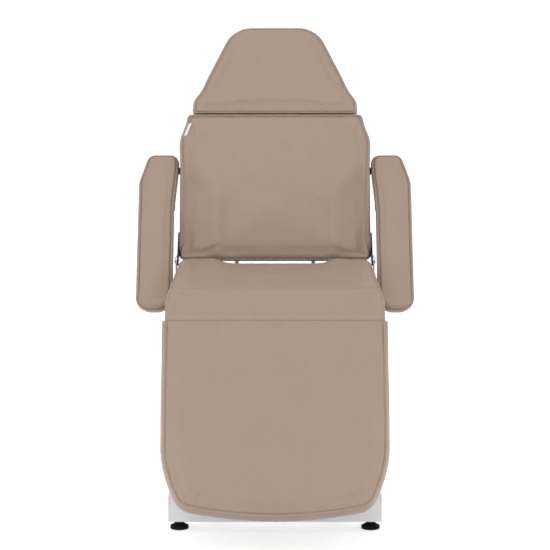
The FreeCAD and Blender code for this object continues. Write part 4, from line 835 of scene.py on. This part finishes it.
class CHAIR_OT_head_pad(bpy.types.Operator):
    """Upholster the headrest"""

    bl_idname = "chair.head_pad"
    bl_label = "Headrest pad"

    def execute(self, context):
        sew_pad("head_cushion", "head_pad", "headrest", 0.0045, 21, even_inset(0.0090), 0.34,
                plain_form, level_outline, head_shape, (0.0, 0.0045))
        return {"FINISHED"}


class CHAIR_OT_seat_pad(bpy.types.Operator):
    """Upholster the seat"""

    bl_idname = "chair.seat_pad"
    bl_label = "Seat pad"

    def execute(self, context):
        hinge = PIVOTS["leg_raise"]
        solid = SPACES["seat"].node("seat_pad")
        roll = roll_distance(solid[solid[:, 1] < hinge.y]).max()

        def side_seam(local):
            """The seam meets the edge where the seat rolls over."""
            return 0.011 * ramp(local[:, 1], hinge.y - roll, hinge.y)

        sew_pad("seat_cushion", "seat_pad", "seat", 0.0055, 31, side_seam, 0.20, seat_form, roll=roll)
        return {"FINISHED"}


class CHAIR_OT_leg_pad(bpy.types.Operator):
    """Upholster the leg rest"""

    bl_idname = "chair.leg_pad"
    bl_label = "Leg pad"

    def execute(self, context):
        space = SPACES["leg_rest"]
        hollow = roll_distance(space.world(space.node("leg_pad"))).min()

        def open_top(points):
            """The outline carried on past the hinge end, which is as wide as the rest."""
            half, top = np.abs(points[:, 0]).max() * 0.993, points[:, 1].max()
            corners = np.array([(half, top + 0.05, 0.0), (-half, top + 0.05, 0.0)])
            return hull_outline(np.vstack((points, corners)))

        def over_roll(local, low, high):
            """Thin the pad over the seat's rolled front, down to a lip at the hinge end."""
            down = local[:, 1] - local[:, 1].max() * ramp(local[:, 1], -0.05, local[:, 1].max())
            down = np.minimum(down, -LIP_SETBACK)
            floor = np.maximum(np.sqrt(np.maximum((hollow + LIP_LIFT) ** 2 - down ** 2, 0.0)), low)
            share = (local[:, 2] - low) / (high - low)
            local[:, 0] *= 1.0 + 0.007 * ramp(-down, 0.05, 0.20) * (1.0 - ramp(-down, 0.36, 0.46))
            local[:, 1] = down * (1.0 + 0.008 * ramp(-down, 0.40, 0.50))
            local[:, 2] = floor + share * (high - floor)
            return local

        sew_pad("leg_cushion", "leg_pad", "leg_rest", 0.006, 41, even_inset(0.0135), 0.24, leg_form,
                open_top, over_roll, hollow=hollow)
        return {"FINISHED"}


class CHAIR_OT_arm_pads(bpy.types.Operator):
    """Upholster both armrests"""

    bl_idname = "chair.arm_pads"
    bl_label = "Armrest pads"

    def execute(self, context):
        def shape(local, low, high):
            return slanted_end(local, high, 0.20, 0.08)

        for seed, side in ((51, "left"), (61, "right")):
            sew_pad("arm_cushion_" + side, "arm_pad_" + side, "armrest_" + side, 0.004, seed,
                    tucked_inset(0.0075), 0.62, plain_form, level_outline, shape, (0.0, 0.0050))
        return {"FINISHED"}


class CHAIR_OT_arm_boards(bpy.types.Operator):
    """Cut the armrest boards back at the lower end, inside their tucked covers"""

    bl_idname = "chair.arm_boards"
    bl_label = "Armrest boards"

    def execute(self, context):
        for side in ("left", "right"):
            space = SPACES["armrest_" + side]
            shape = bmesh.new()
            shape.from_mesh(frame["nodes"]["arm_board_" + side].data)
            bmesh.ops.remove_doubles(shape, verts=shape.verts, dist=SOLID_MERGE)
            bmesh.ops.dissolve_limit(shape, angle_limit=math.radians(1), verts=shape.verts,
                                     edges=shape.edges)
            local = cut_back(space.local(np.array([tuple(vert.co) for vert in shape.verts])))
            for vert, place in zip(shape.verts, space.world(local)):
                vert.co = place
            sharp = [edge for edge in shape.edges if edge.calc_face_angle(0.0) > math.radians(50)]
            bmesh.ops.bevel(shape, geom=sharp, offset=0.0015, affect="EDGES", segments=2, profile=0.5,
                            material=-1)
            piece = new_piece("arm_back_" + side, shape, "armrest_" + side, "board_cover")
            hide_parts("arm_board_" + side)
        return {"FINISHED"}


class CHAIR_OT_screws(bpy.types.Operator):
    """Screw the hinge arms, stays, mounts and straps to their boards"""

    bl_idname = "chair.screws"
    bl_label = "Board screws"

    def execute(self, context):
        back = SPACES["back_rest"]
        head = button_head(0.0058, 0.0036)
        shape = bmesh.new()
        board_rear = back.node("back_board")[:, 2].min()
        for side in (-1, 1):
            low, high = side_box(back.node("back_hinge_arms"), side)
            inner = low[0] if side > 0 else high[0]
            for down in (0.016, 0.046):
                for across in (0.014, 0.052):
                    place = (inner + side * across, high[1] - down, low[2])
                    stamp(shape, head, out(back, place), rearward(back))
            points = back.node("back_stays")
            low, high = side_box(points[np.abs(points[:, 2] - board_rear) < 0.007], side)
            for place in near_corners(low, high, 0.010, 0.010):
                stamp(shape, head, out(back, (*place, low[2])), rearward(back))
            low, high = side_box(back.node("arm_mounts"), side)
            for place in near_corners(low, high, 0.010, 0.0075):
                stamp(shape, head, out(back, (*place, low[2])), rearward(back))
        new_piece("back_screws", shape, "back_rest", "zinc_steel")
        for name in ("left", "right"):
            space = SPACES["armrest_" + name]
            points = space.node("arm_hub_" + name)
            strap = points[points[:, 1] < points[:, 1].min() + 0.001]
            low, high = strap.min(axis=0), strap.max(axis=0)
            shape = bmesh.new()
            for along in (0.014, 0.050, 0.086):
                place = ((low[0] + high[0]) / 2, low[1] + along, low[2])
                stamp(shape, head, out(space, place), rearward(space))
            new_piece("arm_screws_" + name, shape, "armrest_" + name, "zinc_steel")
        bpy.data.meshes.remove(head)
        return {"FINISHED"}


class CHAIR_OT_staples(bpy.types.Operator):
    """Staple the covers to the backs of their boards"""

    bl_idname = "chair.staples"
    bl_label = "Cover staples"

    def execute(self, context):
        for name, node, body in (("back_staples", "back_board", "back_rest"),
                                 ("head_staples", "head_board", "headrest"),
                                 ("leg_staples", "leg_board", "leg_rest"),
                                 ("arm_staples_left", "arm_board_left", "armrest_left"),
                                 ("arm_staples_right", "arm_board_right", "armrest_right")):
            shape = bmesh.new()
            staple_row(shape, SPACES[body], node)
            new_piece(name, shape, body, "zinc_steel")
        return {"FINISHED"}


class CHAIR_OT_bolts(bpy.types.Operator):
    """Bolt up the stay clamps, the collar and the pump"""

    bl_idname = "chair.bolts"
    bl_label = "Frame bolts"

    def execute(self, context):
        world = SPACES["seat"]
        bolt = hex_head(0.0052, 0.0042, 0.0012)
        button = button_head(0.0050, 0.0030)
        shape = bmesh.new()
        for side in (-1, 1):
            low, high = side_box(world.node("stay_clamps"), side)
            for across in (low[0] + 0.008, high[0] - 0.008):
                stamp(shape, bolt, (across, high[1], high[2] - 0.013), (0, 1, 0))
        new_piece("clamp_bolts", shape, "seat", "zinc_steel")
        shape = bmesh.new()
        low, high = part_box("column_collar")
        for x, y in ((0, -1), (0, 1), (-1, 0), (1, 0)):
            stamp(shape, button, (high[0] * x, high[1] * y, (low[2] + high[2]) / 2), (x, y, 0))
        low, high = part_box("pump_block")
        for place in near_corners(low, high, 0.009, 0.009):
            stamp(shape, button, (*place, high[2]), (0, 0, 1))
        stamp(shape, bolt, ((low[0] + high[0]) / 2, high[1] - 0.030, high[2]), (0, 0, 1))
        new_piece("pump_bolts", shape, "base", "zinc_steel")
        for pattern in (bolt, button):
            bpy.data.meshes.remove(pattern)
        return {"FINISHED"}


class CHAIR_OT_welds(bpy.types.Operator):
    """Weld the floor frame and the seat frame together"""

    bl_idname = "chair.welds"
    bl_label = "Weld beads"

    def execute(self, context):
        self.floor_frame()
        self.seat_frame()
        return {"FINISHED"}

    def run(self, shape, start, end, radius=0.0026):
        step = Vector(end) - Vector(start)
        pattern = bead(step.length, radius)
        stamp(shape, pattern, start, step)
        bpy.data.meshes.remove(pattern)

    def floor_frame(self):
        world = SPACES["seat"]
        shape = bmesh.new()
        for side in (-1, 1):
            low, high = side_box(world.node("base_rails"), side)
            for end in (low[1], high[1]):
                for x in (low[0], high[0]):
                    self.run(shape, (x, end, low[2]), (x, end, high[2]))
                self.run(shape, (low[0], end, high[2]), (high[0], end, high[2]))
            plate_low, plate_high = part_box("deck_plate")
            for end in (plate_low[1], plate_high[1]):
                self.run(shape, (low[0], end, high[2]), (high[0], end, high[2]))
        points = world.node("column_outer")
        foot = np.sort(np.unique(np.round(points[:, 2], 4)))[1]
        half = points[points[:, 2] > foot + 0.05][:, 0].max()
        for x, y in ((1, 0), (-1, 0), (0, 1), (0, -1)):
            across = Vector((-y, x, 0)) * half
            middle = Vector((x * half, y * half, foot))
            self.run(shape, middle - across, middle + across, 0.0030)
        new_piece("floor_frame_welds", shape, "base", "white_steel")

    def seat_frame(self):
        world = SPACES["seat"]
        shape = bmesh.new()
        for side in (-1, 1):
            low, high = side_box(world.node("seat_rails"), side)
            inner = low[0] if side > 0 else high[0]
            for node in ("seat_cross_tubes", "stay_cross_tube"):
                for y in np.unique(np.round(world.node(node)[:, 1], 4)):
                    if low[1] < y < high[1]:
                        self.run(shape, (inner, y, low[2]), (inner, y, high[2]))
        new_piece("seat_frame_welds", shape, "seat", "white_steel")


class CHAIR_OT_grips(bpy.types.Operator):
    """Rib the pedal sleeve and the release grip, and strap the oil tank"""

    bl_idname = "chair.grips"
    bl_label = "Grips and strap"

    def execute(self, context):
        self.ribs("pedal", "rubber_black", 0, 4, 0.0009, 0.0022)
        self.ribs("release", "black_plastic", 1, 3, 0.0010, 0.0020)
        self.tank_strap()
        return {"FINISHED"}

    def ribs(self, body, slot, along, each_way, height, half):
        """Ribs in a row along a handle, whose axis is X for 0 and Y for 1."""
        low, high = (Vector(corner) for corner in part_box(body + "_grip"))
        middle, radius = (low + high) / 2, (high - low)[along + 1] / 2
        direction = Vector((1, 0, 0)) if along == 0 else Vector((0, 1, 0))
        shape = bmesh.new()
        ring = grip_ring(radius - RIB_SINK, height, half)
        for number in range(-each_way, each_way + 1):
            stamp(shape, ring, middle + direction * (RIB_PITCH * number), direction)
        new_piece(body + "_ribs", shape, body, slot)
        bpy.data.meshes.remove(ring)

    def tank_strap(self):
        low, high = (Vector(corner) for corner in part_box("oil_tank"))
        radius = (high.y - low.y) / 2
        shape = bmesh.new()
        band = revolved([(radius - 0.0005, -0.007), (radius + 0.0009, -0.007), (radius + 0.0012, -0.006),
                         (radius + 0.0012, 0.006), (radius + 0.0009, 0.007), (radius - 0.0005, 0.007)], 48,
                        closed=True)
        pattern = as_pattern(band)
        place = Vector((low.x + radius, (low.y + high.y) / 2, low.z + 0.042))
        stamp(shape, pattern, place, (0, 0, 1))
        bolt = hex_head(0.0042, 0.0036, 0.0010)
        stamp(shape, bolt, place + Vector((0, radius + 0.0012, 0)), (0, 1, 0))
        new_piece("tank_strap", shape, "base", "zinc_steel")
        for mesh in (pattern, bolt):
            bpy.data.meshes.remove(mesh)


class CHAIR_OT_tag(bpy.types.Operator):
    """Sew a blank tag into the back cover's side seam"""

    bl_idname = "chair.tag"
    bl_label = "Blank tag"

    def execute(self, context):
        space = SPACES["back_rest"]
        solid = space.node("back_pad")
        outline = hull_outline(solid)
        cushion = bpy.data.objects.get("back_cushion")
        if cushion is None:
            raise RuntimeError("the back pad has to be sewn before its tag")
        points = space.local(coordinates_of(cushion.data))
        tree = kdtree.KDTree(len(points))
        for index, (x, y, z) in enumerate(points):
            tree.insert((x, y, 0.0) if z > 0 else (x, y, 1.0), index)
        tree.balance()
        edge = outline.points[outline.points[:, 0] < -0.2]
        shape = bmesh.new()
        bmesh.ops.create_grid(shape, x_segments=5, y_segments=8, size=0.5)
        for vert in shape.verts:
            share, along = vert.co.x + 0.5, 0.387 + 0.038 * vert.co.y
            x = edge[np.argmin(np.abs(edge[:, 1] - along)), 0] + 0.0070 + 0.0095 * share
            height = points[tree.find((x, along, 0.0))[1], 2] + 0.0006 + 0.0022 * share ** 2
            vert.co = out(space, (x, along, height))
        bmesh.ops.recalc_face_normals(shape, faces=shape.faces)
        bmesh.ops.solidify(shape, geom=shape.faces[:], thickness=0.0005)
        bmesh.ops.smooth_vert(shape, verts=shape.verts, factor=0.3, use_axis_x=True, use_axis_y=True,
                              use_axis_z=True)
        new_piece("back_tag", shape, "back_rest", "white_plastic")
        return {"FINISHED"}


class CHAIR_OT_stage(bpy.types.Operator):
    """Set up the floor, the light and the camera"""

    bl_idname = "chair.stage"
    bl_label = "Stage"

    def execute(self, context):
        scene = context.scene
        look = scene.chair_studio
        scene.view_settings.view_transform = "Standard"
        self.camera(scene, look)
        self.surround(scene)
        self.floor(scene)
        self.lamps(scene)
        return {"FINISHED"}

    def camera(self, scene, look):
        data = bpy.data.cameras.new("camera")
        data.lens = look.focal_length
        data.sensor_width = 36.0
        camera = bpy.data.objects.new("camera", data)
        camera.location = (0.0, -look.camera_distance, look.camera_height)
        camera.rotation_euler = (math.pi / 2 - look.camera_pitch, 0.0, 0.0)
        scene.collection.objects.link(camera)
        scene.camera = camera

    def surround(self, scene):
        world = bpy.data.worlds.new("studio")
        world.use_nodes = True
        scene.world = world
        tree = world.node_tree
        tree.nodes.clear()
        output = tree.nodes.new("ShaderNodeOutputWorld")
        seen = tree.nodes.new("ShaderNodeBackground")
        seen.inputs["Color"].default_value = (1, 1, 1, 1)
        fill = tree.nodes.new("ShaderNodeBackground")
        fill.inputs["Color"].default_value = (1, 1, 1, 1)
        fill.inputs["Strength"].default_value = 0.70
        mix = tree.nodes.new("ShaderNodeMixShader")
        tree.links.new(seen_directly(tree), mix.inputs["Fac"])
        tree.links.new(fill.outputs["Background"], mix.inputs[1])
        tree.links.new(seen.outputs["Background"], mix.inputs[2])
        tree.links.new(mix.outputs["Shader"], output.inputs["Surface"])

    def floor(self, scene):
        shape = bmesh.new()
        bmesh.ops.create_grid(shape, x_segments=1, y_segments=1, size=30.0)
        mesh = bpy.data.meshes.new("floor")
        shape.to_mesh(mesh)
        shape.free()
        floor = bpy.data.objects.new("floor", mesh)
        floor.location.z = -0.0005
        scene.collection.objects.link(floor)
        material = bpy.data.materials.new("floor_paper")
        material.use_nodes = True
        tree = material.node_tree
        tree.nodes.clear()
        output = tree.nodes.new("ShaderNodeOutputMaterial")
        paper = tree.nodes.new("ShaderNodeBsdfDiffuse")
        paper.inputs["Color"].default_value = (0.80, 0.80, 0.80, 1)
        glow = tree.nodes.new("ShaderNodeEmission")
        level = tree.nodes.new("ShaderNodeMath")
        level.operation = "MULTIPLY"
        level.inputs[1].default_value = 0.60
        tree.links.new(seen_directly(tree), level.inputs[0])
        tree.links.new(level.outputs[0], glow.inputs["Strength"])
        both = tree.nodes.new("ShaderNodeAddShader")
        tree.links.new(paper.outputs["BSDF"], both.inputs[0])
        tree.links.new(glow.outputs["Emission"], both.inputs[1])
        tree.links.new(both.outputs["Shader"], output.inputs["Surface"])
        mesh.materials.append(material)

    def lamps(self, scene):
        for name, place, aim, size, power in (
                ("key", (-0.5, -2.4, 4.2), (0, 0, 0.6), 3.0, 32.0),
                ("fill", (0.8, -4.2, 0.6), (0, 0, 0.2), 2.4, 1.5),
                ("low_left", (-1.3, -1.0, 0.20), (-0.28, -0.3, 0.07), 0.3, 3.9),
                ("low_right", (1.3, -1.0, 0.20), (0.28, -0.3, 0.07), 0.3, 3.9),
                ("top", (0.0, 0.2, 3.8), (0, 0, 0.5), 2.6, 8.0)):
            data = bpy.data.lights.new(name, "AREA")
            data.shape = "DISK"
            data.size = size
            data.energy = power
            lamp = bpy.data.objects.new(name, data)
            lamp.location = place
            lamp.rotation_euler = (Vector(aim) - Vector(place)).to_track_quat("-Z", "Y").to_euler()
            lamp.visible_glossy = not name.startswith("low")
            scene.collection.objects.link(lamp)


class CHAIR_PT_finish(bpy.types.Panel):
    bl_label = "Beauty chair"
    bl_idname = "CHAIR_PT_finish"
    bl_space_type = "VIEW_3D"
    bl_region_type = "UI"
    bl_category = "Chair"

    def draw(self, context):
        for group in (context.scene.chair_vinyl, context.scene.chair_pads, context.scene.chair_studio):
            for name in group.bl_rna.properties.keys():
                if name not in ("rna_type", "name"):
                    self.layout.prop(group, name)
        for operator in OPERATORS:
            self.layout.operator(operator.bl_idname)


GROUPS = {"chair_vinyl": VinylLook, "chair_pads": PadForm, "chair_studio": StudioLook}
OPERATORS = (CHAIR_OT_frame_finish, CHAIR_OT_back_pad, CHAIR_OT_head_pad, CHAIR_OT_seat_pad,
             CHAIR_OT_leg_pad, CHAIR_OT_arm_pads, CHAIR_OT_arm_boards, CHAIR_OT_screws,
             CHAIR_OT_staples, CHAIR_OT_bolts, CHAIR_OT_welds, CHAIR_OT_grips, CHAIR_OT_tag, CHAIR_OT_stage)


def register():
    for group in GROUPS.values():
        bpy.utils.register_class(group)
    for name, group in GROUPS.items():
        setattr(bpy.types.Scene, name, bpy.props.PointerProperty(type=group))
    for operator in OPERATORS:
        bpy.utils.register_class(operator)
    bpy.utils.register_class(CHAIR_PT_finish)


def unregister():
    bpy.utils.unregister_class(CHAIR_PT_finish)
    for operator in reversed(OPERATORS):
        bpy.utils.unregister_class(operator)
    for name, group in GROUPS.items():
        delattr(bpy.types.Scene, name)
        bpy.utils.unregister_class(group)


def main():
    register()
    bpy.ops.chair.frame_finish()
    bpy.ops.chair.back_pad()
    bpy.ops.chair.head_pad()
    bpy.ops.chair.seat_pad()
    bpy.ops.chair.leg_pad()
    bpy.ops.chair.arm_pads()
    bpy.ops.chair.arm_boards()
    bpy.ops.chair.screws()
    bpy.ops.chair.staples()
    bpy.ops.chair.bolts()
    bpy.ops.chair.welds()
    bpy.ops.chair.grips()
    bpy.ops.chair.tag()
    bpy.ops.chair.stage()


if __name__ == "__main__":
    main()
